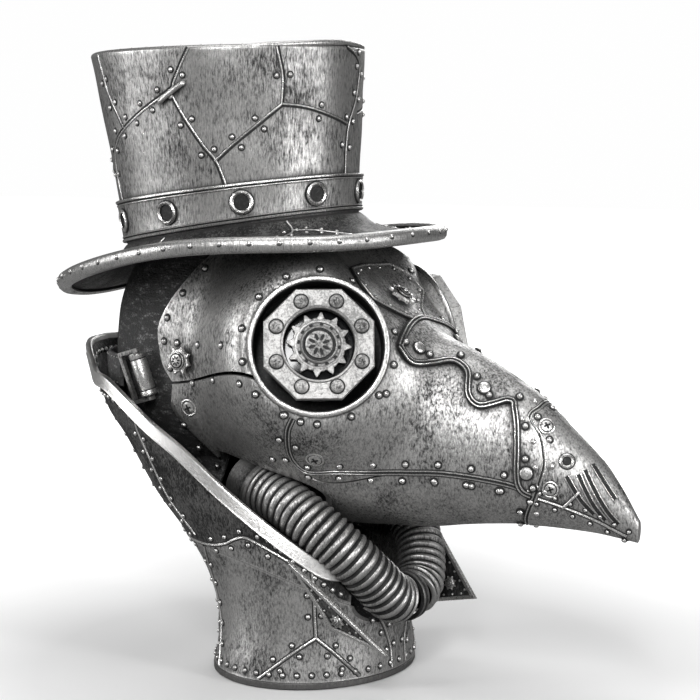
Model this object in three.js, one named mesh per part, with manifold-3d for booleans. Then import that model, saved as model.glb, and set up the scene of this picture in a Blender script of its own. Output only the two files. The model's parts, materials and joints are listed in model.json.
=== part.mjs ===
// A steampunk plague doctor headpiece: beaked mask, leather hood, riveted top hat and standing
// collar. Millimetres, +X to the front (the beak), +Y to the wearer's left, +Z up.
// It stands on the flat ring under its collar.
import * as THREE from "three";
import { mergeVertices } from "three/addons/utils/BufferGeometryUtils.js";
import Module from "manifold-3d";

const wasm = await Module();
wasm.setup();

// ---- driving sizes ----------------------------------------------------------------------------
const GAP = 0.3; // clearance that touching pieces keep
const CURVED_GAP = 1.2; // clearance between curved sheets whose facets don't line up
const RUNNING_GAP = 0.5; // clearance round a piece that turns

const headWidth = 160;
const headRear = -221; // rear of the hood
const headMiddle = -110; // widest station of the head
const headTop = 372;
const plateWall = 2.6; // mask plates
const hoodWall = 3;
const faceStart = -110; // the stations before the beak start here
const beakRoot = 45;
const beakLength = 202; // from the root to the tip
const tipCapLength = 74; // at its middle; its rear edge is wavy
const capProud = 1.2; // how far the tip cap and the bridge plate stand proud
const capGap = 2; // between the cap and the plates; a bead covers it
const bridgeWall = 2.2;
const bridgeLift = 2; // under the bridge plate, above the curved mask plate
const templeLift = 4.4; // the flat temple dial clears the curved plate
const screwLift = 1.7; // and so do the screws' flat undersides

const eyeStandOut = 18; // the flange's front face beyond the side of the head
const eyeFace = { x: 30, y: headWidth / 2 + eyeStandOut, z: 274 };
const eyeAxis = { x: 0.53, y: 0.82, z: 0.22 };
const flangeAcrossFlats = 83;
const flangeThickness = 12;
const flangeOpening = 27; // radius
const socketRadius = 52;
const socketDepth = 34;
const socketRimDrop = 16; // the socket's rim lies this far behind the flange's face
const socketWall = 2.6;
const swellWidth = 50; // the mask rises to the socket over this distance
const barrelRadius = 40;
const barrelLength = 46;
const lensThickness = 4;
const lensDepth = 18; // of the lens's front below the flange's face
const dialThickness = 4;
const dialTeeth = 12;
const axleRadius = 3;

const hatCentre = { x: -102, z: 354.5 }; // middle of the band's lower edge
const hatTilt = THREE.MathUtils.degToRad(9);
const crownHalfLength = 100;
const hatEase = 5; // the crown is this much wider than the head on each side
const crownHalfWidth = headWidth / 2 + hatEase;
const crownHeight = 143;
const crownFlare = 1.17;
const crownWall = 3;
const crownTopTilt = THREE.MathUtils.degToRad(8);
const crownLean = 8; // the top's middle lies this far ahead of the band's
const bandHeight = 31;
const bandWall = 2.5;
const brimOverhang = 55;
const brimShift = 4; // the brim reaches this much further at the front
const brimWall = 4;
const brimDrop = 20; // front and rear edge below the crown's foot
const brimCurl = 14; // how far the sides rise again
const crownFoot = -8; // the crown's foot below the band's lower edge
const bindingRadius = 5.5;
const bindingSides = 8;
const sweatbandWall = 2.2;
const sweatbandHeight = 28;
const eyeletCount = 10;
const eyeletTurn = THREE.MathUtils.degToRad(12); // of the first eyelet from the front
const eyeletRadius = 9.2;
const eyeletHole = 6.2;
const eyeletLift = 1.4; // the flat ring clears the curved band

const hoseRadius = 20;
const hoseWall = 3.5;
const hoseSides = 12;
const hoseSteps = 14;

const baseHeight = 5;
const baseWidth = 12;
const collarWall = 3;
const neckHalfLength = 58;
const neckHalfWidth = 52;
const neckMiddle = -86;
const neckTop = 186;
const rollerRadius = 6.5;
const rollerLength = 36;
const rollerPinRadius = 2.4;
const strapWall = 3;
const strapWidth = 26;

// ---- finishes ---------------------------------------------------------------------------------
const finish = (color, roughness, metalness) =>
  new THREE.MeshStandardMaterial({ color, roughness, metalness });
const silver = () => finish(0x9a9997, 0.38, 1);
const brightSilver = () => finish(0xc4c3c0, 0.3, 1);
const darkSilver = () => finish(0x5b5b5a, 0.5, 1);
const leather = () => finish(0x3a3836, 0.7, 0.2);
const hoseRubber = () => finish(0x6d6c6a, 0.45, 0.8);
const darkGlass = () => finish(0x101214, 0.08, 0);

// ---- small tools ------------------------------------------------------------------------------
const vec = (x, y, z) => new THREE.Vector3(x, y, z);
const lerp = THREE.MathUtils.lerp;
const clamp01 = (value) => Math.min(1, Math.max(0, value));
const smooth = (value) => clamp01(value) ** 2 * (3 - 2 * clamp01(value));
const steps = (count) => [...Array(count + 1).keys()].map((i) => i / count);

// A smooth curve through [position, value, value...] rows, read at one position.
function tableCurve(rows) {
  const columns = rows[0].length - 1;
  return (x) => {
    let i = rows.findIndex((row) => row[0] > x);
    if (i < 0) i = rows.length - 1;
    i = Math.max(1, i);
    const t = clamp01((x - rows[i - 1][0]) / (rows[i][0] - rows[i - 1][0]));
    return [...Array(columns).keys()].map((c) => hermite(rows, i, c + 1, t));
  };
}

function hermite(rows, i, column, t) {
  const [before, after] = [rows[i - 1], rows[i]];
  const width = after[0] - before[0];
  const start = slope(rows, i - 1, column) * width;
  const end = slope(rows, i, column) * width;
  const rise = after[column] - before[column];
  const cubic = start + end - 2 * rise;
  const square = 3 * rise - 2 * start - end;
  return before[column] + start * t + square * t * t + cubic * t * t * t;
}

function slope(rows, i, column) {
  const low = rows[Math.max(0, i - 1)];
  const high = rows[Math.min(rows.length - 1, i + 1)];
  return (high[column] - low[column]) / (high[0] - low[0]);
}

// ---- closed bodies ----------------------------------------------------------------------------
function closedBody(points, triangles) {
  const body = new THREE.BufferGeometry().setFromPoints(points);
  body.setIndex(triangles);
  return facingOut(body);
}

function signedVolume(geometry) {
  const at = geometry.getAttribute("position");
  const index = geometry.index.array;
  const corners = [vec(), vec(), vec()];
  let volume = 0;
  for (let i = 0; i < index.length; i += 3) {
    corners.forEach((corner, k) => corner.fromBufferAttribute(at, index[i + k]));
    volume += corners[0].dot(corners[1].clone().cross(corners[2])) / 6;
  }
  return volume;
}

function facingOut(geometry) {
  const flat = geometry.clone();
  flat.deleteAttribute("normal");
  flat.deleteAttribute("uv");
  const merged = mergeVertices(flat, 1e-4);
  const kept = [];
  const index = merged.index.array;
  for (let i = 0; i < index.length; i += 3) {
    const [a, b, c] = index.slice(i, i + 3);
    if (a !== b && b !== c && c !== a) kept.push(a, b, c);
  }
  merged.setIndex(kept);
  if (signedVolume(merged) < 0) {
    for (let i = 0; i < kept.length; i += 3) {
      [kept[i + 1], kept[i + 2]] = [kept[i + 2], kept[i + 1]];
    }
    merged.setIndex(kept);
  }
  return merged;
}

// Stitches rings of points into one body. A ring of one point is a pole. With loop the last
// ring joins the first, otherwise an open end is closed by a fan to its middle.
function loft(rings, loop = false) {
  const points = [];
  const triangles = [];
  const starts = rings.map((ring) => points.push(...ring) - ring.length);
  const count = Math.max(...rings.map((ring) => ring.length));
  const at = (k, i) => starts[k] + (rings[k].length === 1 ? 0 : i % count);
  const spans = loop ? rings.length : rings.length - 1;
  for (let k = 0; k < spans; k++) {
    const next = (k + 1) % rings.length;
    for (let i = 0; i < count; i++) {
      triangles.push(at(k, i), at(k, i + 1), at(next, i + 1));
      triangles.push(at(k, i), at(next, i + 1), at(next, i));
    }
  }
  if (!loop) {
    closeEnd(rings[0], starts[0], points, triangles, true);
    closeEnd(rings.at(-1), starts.at(-1), points, triangles, false);
  }
  return closedBody(points, triangles);
}

function closeEnd(ring, start, points, triangles, turned) {
  if (ring.length === 1) return;
  const middle = ring.reduce((sum, p) => sum.add(p), vec(0, 0, 0)).divideScalar(ring.length);
  points.push(middle);
  for (let i = 0; i < ring.length; i++) {
    const next = (i + 1) % ring.length;
    const pair = turned ? [start + next, start + i] : [start + i, start + next];
    triangles.push(points.length - 1, ...pair);
  }
}

// A sheet with a wall: at(u, v, side) gives its outer (0) and inner (1) face.
function thickPatch(at, across, along) {
  const rings = steps(across).map((u) => [
    ...steps(along).map((v) => at(u, v, 0)),
    ...steps(along).reverse().map((v) => at(u, v, 1)),
  ]);
  const count = along + 1;
  const points = rings.flat();
  const triangles = [];
  const span = 2 * count;
  for (let k = 0; k < rings.length - 1; k++) {
    for (let i = 0; i < span; i++) {
      const [a, b] = [k * span + i, k * span + ((i + 1) % span)];
      triangles.push(a, b, b + span, a, b + span, a + span);
    }
  }
  for (let i = 0; i < along; i++) {
    const last = (rings.length - 1) * span;
    const [a, b, c, d] = [i, i + 1, span - 2 - i, span - 1 - i];
    triangles.push(a, c, b, a, d, c);
    triangles.push(last + a, last + b, last + c, last + a, last + c, last + d);
  }
  return closedBody(points, triangles);
}

function turned(profile, segments = 28) {
  const points = [...profile, profile[0]].map(([r, y]) => new THREE.Vector2(r, y));
  const lathe = new THREE.LatheGeometry(points, segments);
  lathe.rotateX(Math.PI / 2);
  return facingOut(lathe);
}

function plate(shape, thickness, curveSegments = 20) {
  const options = { depth: thickness, bevelEnabled: false, curveSegments };
  return facingOut(new THREE.ExtrudeGeometry(shape, options));
}

function regularShape(sides, inradius, hole) {
  const radius = inradius / Math.cos(Math.PI / sides);
  const corners = [...Array(sides).keys()].map((i) => {
    const angle = ((i + 0.5) * 2 * Math.PI) / sides;
    return new THREE.Vector2(radius * Math.cos(angle), radius * Math.sin(angle));
  });
  const shape = new THREE.Shape(corners);
  if (hole) shape.holes.push(new THREE.Path().absarc(0, 0, hole, 0, 2 * Math.PI, true));
  return shape;
}

function gearShape(teeth, root, tip, hole) {
  const shape = new THREE.Shape();
  for (let i = 0; i < teeth; i++) {
    const parts = [[0.0, root], [0.32, root], [0.5, tip], [0.68, root]];
    parts.forEach(([share, radius], k) => {
      const angle = ((i + share) * 2 * Math.PI) / teeth;
      const corner = [radius * Math.cos(angle), radius * Math.sin(angle)];
      if (i + k === 0) shape.moveTo(...corner);
      else shape.lineTo(...corner);
    });
  }
  if (hole) shape.holes.push(new THREE.Path().absarc(0, 0, hole, 0, 2 * Math.PI, true));
  return shape;
}

function toSolid(geometry) {
  const body = facingOut(geometry);
  const vertProperties = new Float32Array(body.getAttribute("position").array);
  const triVerts = new Uint32Array(body.index.array);
  return new wasm.Manifold(new wasm.Mesh({ numProp: 3, vertProperties, triVerts }));
}

function fromSolid(solid) {
  const mesh = solid.getMesh();
  const body = new THREE.BufferGeometry();
  body.setAttribute("position", new THREE.BufferAttribute(mesh.vertProperties, 3));
  body.setIndex(new THREE.BufferAttribute(mesh.triVerts, 1));
  return body;
}

const joined = (...bodies) => fromSolid(bodies.map(toSolid).reduce((a, b) => a.add(b)));

function cut(body, ...tools) {
  return fromSolid(tools.map(toSolid).reduce((left, tool) => left.subtract(tool), toSolid(body)));
}

function keepLargest(body) {
  const pieces = toSolid(body).decompose();
  return fromSolid(pieces.reduce((a, b) => (a.volume() > b.volume() ? a : b)));
}

function placed(body, position, direction) {
  const turn = new THREE.Quaternion().setFromUnitVectors(vec(0, 0, 1), direction.clone().normalize());
  return body.clone().applyMatrix4(new THREE.Matrix4().compose(position, turn, vec(1, 1, 1)));
}

function piece(name, geometry, material) {
  const mesh = new THREE.Mesh(geometry, material);
  mesh.name = name;
  return mesh;
}

// A group whose +Z is the given direction, and whose +Y points up or, on an upright axis, ahead.
function facing(position, direction, ...children) {
  const out = direction.clone().normalize();
  const guide = Math.abs(out.z) > 0.9 ? vec(1, 0, 0) : vec(0, 0, 1);
  const across = guide.cross(out).normalize();
  const basis = new THREE.Matrix4().makeBasis(across, out.clone().cross(across), out);
  const group = new THREE.Group();
  group.applyMatrix4(basis.setPosition(position));
  group.add(...children);
  return group;
}

const SIDES = [
  { word: "right", sign: -1 },
  { word: "left", sign: 1 },
];

// ---- the head's surface -----------------------------------------------------------------------
// Stations from the middle of the head to the beak's tip: position, top, widest level, bottom,
// half width and roundness of the section.
const halfHead = headWidth / 2;
const beakAt = (share) => beakRoot + share * beakLength;
const headStations = tableCurve([
  [faceStart, headTop, 256, 150, halfHead, 2.4],
  [faceStart + 50, headTop - 3, 250, 134, halfHead - 1, 2.4],
  [faceStart + 90, headTop - 19, 232, 124, halfHead - 4, 2.4],
  [faceStart + 122, headTop - 46, 210, 121, halfHead - 9, 2.3],
  [beakRoot, 299, 192, 122, halfHead - 20, 2.15],
  [beakAt(0.18), 274, 181, 124, halfHead - 30, 2.05],
  [beakAt(0.31), 263, 177, 128, halfHead - 36, 2],
  [beakAt(0.43), 251, 174, 131, halfHead - 42, 2],
  [beakAt(0.6), 231, 169, 134, halfHead - 50, 2],
  [beakAt(0.74), 207, 163, 134, halfHead - 58, 2],
  [beakAt(0.85), 187, 156, 133, halfHead - 64.5, 2],
  [beakAt(0.93), 167, 148, 131, halfHead - 70.5, 2],
  [beakAt(1), 145, 139, 129, halfHead - 77, 2],
]);

// The level of the seam between the upper and the lower mask plates.
const seamStep = -16; // the seam drops here, behind the socket, from the temple to the cheek
const seamSlant = 11; // over this distance each way
const seamLevels = tableCurve([
  [faceStart - 20, 232],
  [seamStep - seamSlant, 232],
  [seamStep + seamSlant, 168],
  [beakAt(0.15), 172],
  [beakAt(0.43), 171],
  [beakAt(0.68), 163],
  [beakAt(1), 138],
]);

function seamShare(x) {
  const [level, bottom, round] = [1, 2, 4].map((i) => headStations(Math.max(x, headMiddle))[i]);
  const height = (seamLevels(x)[0] - level) / (level - bottom);
  if (height > 0) return 0.5;
  return 1 - Math.acos(Math.abs(height) ** (round / 2)) / Math.PI;
}

// The point at x and share q round the section: 0 is the top, 0.5 the widest line, 1 the
// bottom, below zero on the right side. depth is measured inwards.
function surfacePoint(x, q, depth) {
  const rearReach = headMiddle - headRear;
  const back = clamp01((headMiddle - x) / rearReach);
  const shrink = Math.sqrt(1 - back * back);
  const [top, level, bottom, half, round] = headStations(Math.max(x, headMiddle));
  const angle = Math.abs(q) * Math.PI;
  const lift = Math.abs(Math.cos(angle)) ** (2 / round);
  const spread = Math.abs(Math.sin(angle)) ** (2 / round);
  const rise = Math.abs(q) < 0.5 ? top - level - depth : -(level - bottom - depth);
  return vec(
    x + back * depth,
    Math.sign(q) * (half - depth) * spread * shrink,
    level + rise * lift * shrink,
  );
}

// The mask swells round each eyepiece up to the socket's rim.
function maskPoint(x, q, depth) {
  const point = surfacePoint(x, q, depth);
  const sign = Math.sign(point.y) || 1;
  const { origin, axis } = eyeFrame(sign);
  const offset = point.clone().sub(origin);
  const along = offset.dot(axis);
  const away = offset.addScaledVector(axis, -along).length();
  const near = smooth(1 - (away - socketRadius - 3) / swellWidth);
  const side = smooth((Math.abs(point.y) - 8) / 38);
  const rimLevel = -socketRimDrop - 2 - depth;
  return point.addScaledVector(axis, near * side * Math.max(0, rimLevel - along));
}

function eyeFrame(sign) {
  const origin = vec(eyeFace.x, sign * eyeFace.y, eyeFace.z);
  const axis = vec(eyeAxis.x, sign * eyeAxis.y, eyeAxis.z).normalize();
  return { origin, axis };
}

const tipCapStart = beakRoot + beakLength - tipCapLength;
// The cap's rear edge, by its share round the section, as a distance behind tipCapStart.
const capWave = tableCurve([
  [0, 1], [0.11, 2], [0.22, 6], [0.26, -3], [0.32, -7], [0.39, -9], [0.48, -6], [0.57, -3], [0.79, 7], [1, 12],
]);
const capRear = (share) => tipCapStart - capWave(Math.abs(share))[0];

// ---- hood and neck ----------------------------------------------------------------------------
const hoodDepth = plateWall + CURVED_GAP;
const hoodFront = -34;
const hoodCount = 30;

function hood() {
  const ringAt = (x, depth) =>
    [...Array(hoodCount).keys()].map((i) => surfacePoint(x, (2 * (i + 0.5)) / hoodCount - 1, depth));
  const rearArc = steps(7).slice(1).map((t) => {
    return headMiddle - (headMiddle - headRear) * Math.cos((t * Math.PI) / 2);
  });
  const stations = [...rearArc, lerp(headMiddle, hoodFront, 0.5), hoodFront];
  const outer = stations.map((x) => ringAt(x, hoodDepth));
  const inner = stations.map((x) => ringAt(x, hoodDepth + hoodWall)).reverse();
  const pole = (depth) => [surfacePoint(headRear, 0.5, depth)];
  const shell = loft([pole(hoodDepth), ...outer, ...inner, pole(hoodDepth + hoodWall)]);
  return keepLargest(cut(shell, neckTool(GAP), ...hoseTools()));
}

const neckRings = tableCurve([
  [baseHeight + GAP, -33, 71, 82],
  [40, -36, 68, 70],
  [80, -56, 60, 58],
  [120, -76, 58, 53],
  [150, neckMiddle, neckHalfLength, neckHalfWidth],
  [neckTop, neckMiddle, neckHalfLength, neckHalfWidth],
]);

const neckCount = 36;

function neckRing(z, growth) {
  const [middle, halfLength, halfWidth] = neckRings(z);
  return ellipse(neckCount, halfLength + growth, halfWidth + growth, vec(middle, 0, z));
}

function ellipse(count, halfLength, halfWidth, middle) {
  return [...Array(count).keys()].map((i) => {
    const angle = (i * 2 * Math.PI) / count;
    return vec(halfLength * Math.cos(angle), halfWidth * Math.sin(angle), 0).add(middle);
  });
}

function neckTool(clearance) {
  const heights = [80, 120, 150, neckTop, neckTop + 40];
  return loft(heights.map((z) => neckRing(Math.min(z, neckTop), clearance).map((p) => p.setZ(z))));
}

function neckSleeve() {
  const heights = [baseHeight + GAP, 40, 80, 120, 150, neckTop];
  const outer = heights.map((z) => neckRing(z, 0));
  const inner = heights.map((z) => neckRing(z, -hoodWall)).reverse();
  return keepLargest(cut(loft([...outer, ...inner], true), ...hoseTools()));
}

// ---- mask plates ------------------------------------------------------------------------------
// Where the plates start at the rear, from the top (0) or the bottom (0) to the seam (1).
const seamRear = -118;
const upperRear = tableCurve([[0, -64], [0.4, -76], [0.62, -104], [0.82, -131], [0.92, -129], [1, seamRear]]);
const lowerRear = tableCurve([[0, -24], [0.3, -52], [0.6, -92], [0.85, -120], [1, seamRear]]);
const seamGap = 0.004; // half the seam's gap, as a share round the section
const plateSteps = 26;

function maskUpper() {
  const at = (u, v, side) => {
    const q = lerp(-1, 1, v);
    const end = capRear(q * seamShare(tipCapStart)) - capGap;
    const x = lerp(upperRear(Math.abs(q))[0], end, u);
    return maskPoint(x, q * (seamShare(x) - seamGap), side * plateWall);
  };
  return keepLargest(cut(thickPatch(at, plateSteps, 20), ...eyeTools()));
}

function maskLower() {
  const at = (u, v, side) => {
    const q = lerp(-1, 1, v);
    const end = capRear(lerp(1, seamShare(tipCapStart), Math.abs(q))) - capGap;
    const x = lerp(lowerRear(Math.abs(q))[0], end, u);
    const around = lerp(1, seamShare(x) + seamGap, Math.abs(q));
    return maskPoint(x, q < 0 ? -around : around, side * plateWall);
  };
  const sheet = thickPatch(at, plateSteps, 14);
  return keepLargest(cut(sheet, ...eyeTools(), ...hoseTools(), neckTool(GAP)));
}

function beakTip() {
  const count = 28;
  const ringAt = (end, t, depth) => [...Array(count).keys()].map((i) => {
    const q = (2 * (i + 0.5)) / count - 1;
    return surfacePoint(lerp(capRear(q), end, t), q, depth);
  });
  const tip = beakRoot + beakLength;
  const [top, level] = headStations(tip);
  const nose = [vec(tip + 2, 0, lerp(level, top, 0.2))];
  const hollowEnd = [vec(tip - 12, 0, headStations(tip - 12)[1])];
  const skin = steps(7).map((t) => ringAt(tip, Math.sin((t * Math.PI) / 2), -capProud));
  const lining = steps(4).map((t) => ringAt(tip - 14, t, plateWall + 0.6)).reverse();
  return loft([hollowEnd, ...lining, ...skin, nose]);
}

// The bridge plate's wavy lower edge: x and share round the section. It ends in a tongue that
// runs down beside the tip cap. Near the cap the rows bend to the cap's rear edge.
const bridgeStart = 64;
const bridgeRows = [
  [bridgeStart, 0.21], [76, 0.23], [91, 0.185], [104, 0.142], [116, 0.163], [121, 0.25], [130, 0.273],
  [141, 0.235], [150, 0.19], [155.5, 0.2], [157, 0.3], [158, 0.43], [159.5, 0.5], [162.5, 0.545], [168, 0.56],
];
const bridgeEdge = tableCurve(bridgeRows.map((row, i) => [i / (bridgeRows.length - 1), ...row]));
const bendLength = 18;
const rowsEnd = bridgeRows.at(-1)[0];
const bridgeStretch = (tipCapStart - 5 - bridgeStart) / (rowsEnd - bridgeStart);

function bridgePoint(u, across, lift) {
  const [row, edgeShare] = bridgeEdge(u);
  const q = across * edgeShare;
  const end = (capRear(q) - capGap - bridgeStart) / bridgeStretch + bridgeStart;
  const x = row + smooth((row - rowsEnd + bendLength) / bendLength) * (end - rowsEnd);
  return maskPoint(bridgeStart + (x - bridgeStart) * bridgeStretch, q, -lift);
}

function bridgePlate() {
  const at = (u, v, side) => bridgePoint(u, lerp(-1, 1, v), bridgeLift + (1 - side) * bridgeWall);
  return thickPatch(at, 28, 12);
}

const browStart = 14;
const browMiddle = 36;
const browLift = 2;
const browEnd = bridgeStart - 3;
const browHalf = tableCurve([[browStart, 0.08], [browMiddle, 0.125], [browEnd, 0.05]]);

function browPlate() {
  const at = (u, v, side) => {
    const x = lerp(browStart, browEnd, u);
    return maskPoint(x, lerp(-1, 1, v) * browHalf(x)[0], side * bridgeWall - bridgeWall - browLift);
  };
  return thickPatch(at, 6, 6);
}

function surfaceNormal(x, q) {
  const along = maskPoint(x + 2, q, 0).sub(maskPoint(x - 2, q, 0));
  const across = maskPoint(x, q + 0.02, 0).sub(maskPoint(x, q - 0.02, 0));
  return along.cross(across).normalize().multiplyScalar(-1);
}

// A fitting that sits on the mask at x and q, lifted by the given height.
function onMask(x, q, lift, ...children) {
  const normal = surfaceNormal(x, q);
  if (normal.dot(vec(0, Math.sign(q), 0.2)) < 0) normal.multiplyScalar(-1);
  return facing(maskPoint(x, q, 0).addScaledVector(normal, lift), normal, ...children);
}

// ---- eyepieces --------------------------------------------------------------------------------
const socketBack = -socketRimDrop - socketDepth;
const barrelFront = -flangeThickness - GAP;
const barrelBack = barrelFront - barrelLength;
const lensSeat = -lensDepth - lensThickness - GAP;
const lensBore = flangeOpening + 0.6;

function eyeTool(sign) {
  const { origin, axis } = eyeFrame(sign);
  const radius = socketRadius + GAP;
  const rod = turned([[0, -120], [radius, -120], [radius, 30], [0, 30]], 36);
  return placed(rod, origin, axis);
}

const eyeTools = () => SIDES.map(({ sign }) => eyeTool(sign));

function eyeSocket() {
  const inner = barrelRadius + GAP;
  return turned([
    [inner, socketBack],
    [socketRadius, socketBack],
    [socketRadius, -socketRimDrop],
    [socketRadius - socketWall, -socketRimDrop],
    [socketRadius - socketWall, socketBack + socketWall],
    [inner, socketBack + socketWall],
  ], 36);
}

function eyeBarrel() {
  return turned([
    [lensBore - 3, barrelBack],
    [barrelRadius - 1, barrelBack],
    [barrelRadius, socketBack],
    [barrelRadius, barrelFront],
    [lensBore, barrelFront],
    [lensBore, lensSeat],
    [lensBore - 3, lensSeat],
  ]);
}

function eyeFlange() {
  const body = plate(regularShape(8, flangeAcrossFlats / 2, flangeOpening), flangeThickness, 10);
  return body.translate(0, 0, -flangeThickness);
}

function eyeLens() {
  const radius = lensBore - GAP;
  const hole = axleRadius + RUNNING_GAP;
  return turned([
    [hole, -lensDepth - lensThickness],
    [radius, -lensDepth - lensThickness],
    [radius, -lensDepth],
    [hole, -lensDepth],
  ]);
}

// The toothed dial turns on an axle through the lens.
const dialRadius = flangeOpening - 2.4;
const dialBack = -9;
const dialHubRadius = 15;

function eyeDial() {
  const star = plate(gearShape(dialTeeth, dialRadius - 4.5, dialRadius), dialThickness, 8);
  star.translate(0, 0, dialBack);
  const hubTop = dialBack + dialThickness + 3;
  const axleEnd = lensSeat - 4;
  const hub = turned([
    [0, axleEnd],
    [axleRadius, axleEnd],
    [axleRadius, dialBack + 0.5],
    [dialHubRadius, dialBack + 0.5],
    [dialHubRadius, hubTop - 1.5],
    [dialHubRadius - 1.5, hubTop],
    [0, hubTop],
  ], 24);
  return joined(star, hub);
}

function eyepiece({ word, sign }) {
  const { origin, axis } = eyeFrame(sign);
  return facing(origin, axis,
    piece(`eye_socket_${word}`, eyeSocket(), darkSilver()),
    piece(`eye_barrel_${word}`, eyeBarrel(), silver()),
    piece(`eye_flange_${word}`, eyeFlange(), brightSilver()),
    piece(`eye_lens_${word}`, eyeLens(), darkGlass()),
    piece(`eye_dial_${word}`, eyeDial(), silver()),
  );
}

// ---- small fittings ---------------------------------------------------------------------------
const templeDialRadius = 11.5;
const templeTeeth = 8;
const templeX = -106;
const templeShare = 0.505;

function templeDial() {
  const star = plate(gearShape(templeTeeth, templeDialRadius - 2.6, templeDialRadius), 3, 6);
  const hub = turned([[0, 1], [7, 1], [7, 4.6], [5.8, 5.6], [0, 5.6]], 24);
  return joined(star, hub);
}

function screw(radius, height) {
  return turned([[0, 0], [radius, 0], [radius, height * 0.55], [radius * 0.7, height], [0, height]], 14);
}

const eyeletRing = (outer, hole, height) =>
  turned([[hole, 0], [outer, 0], [outer, height * 0.5], [(outer + hole) / 2, height], [hole, height * 0.5]], 14);

function sideFittings({ word, sign }) {
  return [
    onMask(templeX, sign * templeShare, templeLift,
      piece(`temple_dial_${word}`, templeDial(), brightSilver())),
    onMask(-104, sign * 0.605, screwLift, piece(`cheek_screw_${word}`, screw(6.4, 3), silver())),
    onMask(8, sign * 0.6, screwLift, piece(`jaw_screw_${word}`, screw(5.6, 3), silver())),
    onTip(tipCapStart + 6, sign * 0.19, piece(`tip_screw_upper_${word}`, screw(4.6, 2.4), silver())),
    onTip(tipCapStart + 14, sign * 0.49, piece(`tip_screw_lower_${word}`, screw(4.6, 2.4), silver())),
    onTip(tipCapStart + 24, sign * 0.303, piece(`tip_eyelet_${word}`, eyeletRing(5.4, 2.8, 2), silver())),
  ];
}

function onTip(x, q, child) {
  const normal = surfaceNormal(x, q);
  if (normal.dot(vec(0, Math.sign(q), 0.2)) < 0) normal.multiplyScalar(-1);
  return facing(surfacePoint(x, q, -capProud).addScaledVector(normal, 0.9), normal, child);
}

// ---- hoses ------------------------------------------------------------------------------------
// Each hose's middle line: x, distance outwards, height.
const hosePath = [
  [-44, halfHead - 21, 150],
  [-20, halfHead - 16, 142],
  [3, halfHead - 15, 129],
  [22, halfHead - 20, 114],
  [37, 0.75 * halfHead - 10, 97],
  [46, 0.5 * halfHead - 4, 80],
  [50, 0.25 * halfHead + 5, 69],
  [51, 13, 64],
];

function hoseCurve(sign) {
  return new THREE.CatmullRomCurve3(hosePath.map(([x, y, z]) => vec(x, sign * y, z)));
}

function hoseRings(sign, radius) {
  const curve = hoseCurve(sign);
  const frames = curve.computeFrenetFrames(hoseSteps, false);
  return [...Array(hoseSteps + 1).keys()].map((i) => {
    const middle = curve.getPointAt(i / hoseSteps);
    return [...Array(hoseSides).keys()].map((k) => {
      const angle = (k * 2 * Math.PI) / hoseSides;
      return middle.clone()
        .addScaledVector(frames.normals[i], radius * Math.cos(angle))
        .addScaledVector(frames.binormals[i], radius * Math.sin(angle));
    });
  });
}

function hose(sign) {
  const inner = hoseRings(sign, hoseRadius - hoseWall).reverse();
  return loft([...hoseRings(sign, hoseRadius), ...inner], true);
}

// The room that the hose needs.
const hoseRod = (sign) => loft(hoseRings(sign, hoseRadius + CURVED_GAP));

// The socket in the cheek that the hose's upper end butts against.
const hoseSocketRadius = hoseRadius + 1.5;
const hoseSocketLength = 22;

function hoseStart(sign) {
  const curve = hoseCurve(sign);
  return { origin: curve.getPointAt(0), axis: curve.getTangentAt(0) };
}

function hoseTools() {
  return SIDES.map(({ sign }) => {
    const { origin, axis } = hoseStart(sign);
    const radius = hoseSocketRadius + GAP;
    return placed(turned([[0, -46], [radius, -46], [radius, 70], [0, 70]]), origin, axis);
  });
}

function hoseSocket({ word, sign }) {
  const { origin, axis } = hoseStart(sign);
  const bore = hoseRadius - hoseWall;
  const body = turned([
    [bore, -hoseSocketLength],
    [hoseSocketRadius, -hoseSocketLength],
    [hoseSocketRadius, -GAP],
    [bore, -GAP],
  ], 20);
  return facing(origin, axis, piece(`hose_socket_${word}`, body, darkSilver()));
}

// The hoses meet in a valve body at the throat.
const valveRoom = 9; // the hoses arrive aslant

function throatValve() {
  const end = hosePath.at(-1);
  const half = end[1] - valveRoom;
  const bore = hoseRadius - hoseWall;
  const body = turned([
    [bore, -half],
    [hoseRadius, -half],
    [hoseRadius, half],
    [bore, half],
  ], 20);
  body.rotateX(Math.PI / 2);
  return body.translate(end[0], 0, end[2]);
}

// ---- straps -----------------------------------------------------------------------------------
const rollerPlace = { x: -146, z: 238 };
const buckleWall = 4;

function rollerCentre(sign) {
  const skin = surfacePoint(rollerPlace.x, sign * 0.5, hoodDepth);
  return vec(rollerPlace.x, skin.y + sign * (rollerRadius + CURVED_GAP), rollerPlace.z);
}

const rollerAxis = (sign) => vec(-0.28, sign * 0.12, 0.95).normalize();

function strapRoller({ word, sign }) {
  const half = rollerLength / 2;
  const bore = rollerPinRadius + RUNNING_GAP;
  const body = turned([
    [bore, -half],
    [rollerRadius, -half],
    [rollerRadius, half],
    [bore, half],
  ], 16);
  return facing(rollerCentre(sign), rollerAxis(sign), piece(`strap_roller_${word}`, body, brightSilver()));
}

// The buckle frame holds the roller's pin; its cheeks stand past both ends of the roller.
function strapBuckle({ word, sign }) {
  const half = rollerLength / 2;
  const pin = new THREE.CylinderGeometry(rollerPinRadius, rollerPinRadius, rollerLength + 6, 12);
  pin.rotateX(Math.PI / 2);
  const cheek = (z) => new THREE.BoxGeometry(buckleWall, rollerRadius * 3, 3).translate(0, -rollerRadius, z);
  const cheeks = [half + 2.2, -half - 2.2].map(cheek);
  const back = new THREE.BoxGeometry(buckleWall, 3, rollerLength + 7.4).translate(0, -rollerRadius * 2.4, 0);
  const body = joined(pin, ...cheeks, back);
  return facing(rollerCentre(sign), rollerAxis(sign), piece(`strap_buckle_${word}`, body, silver()));
}

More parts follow.
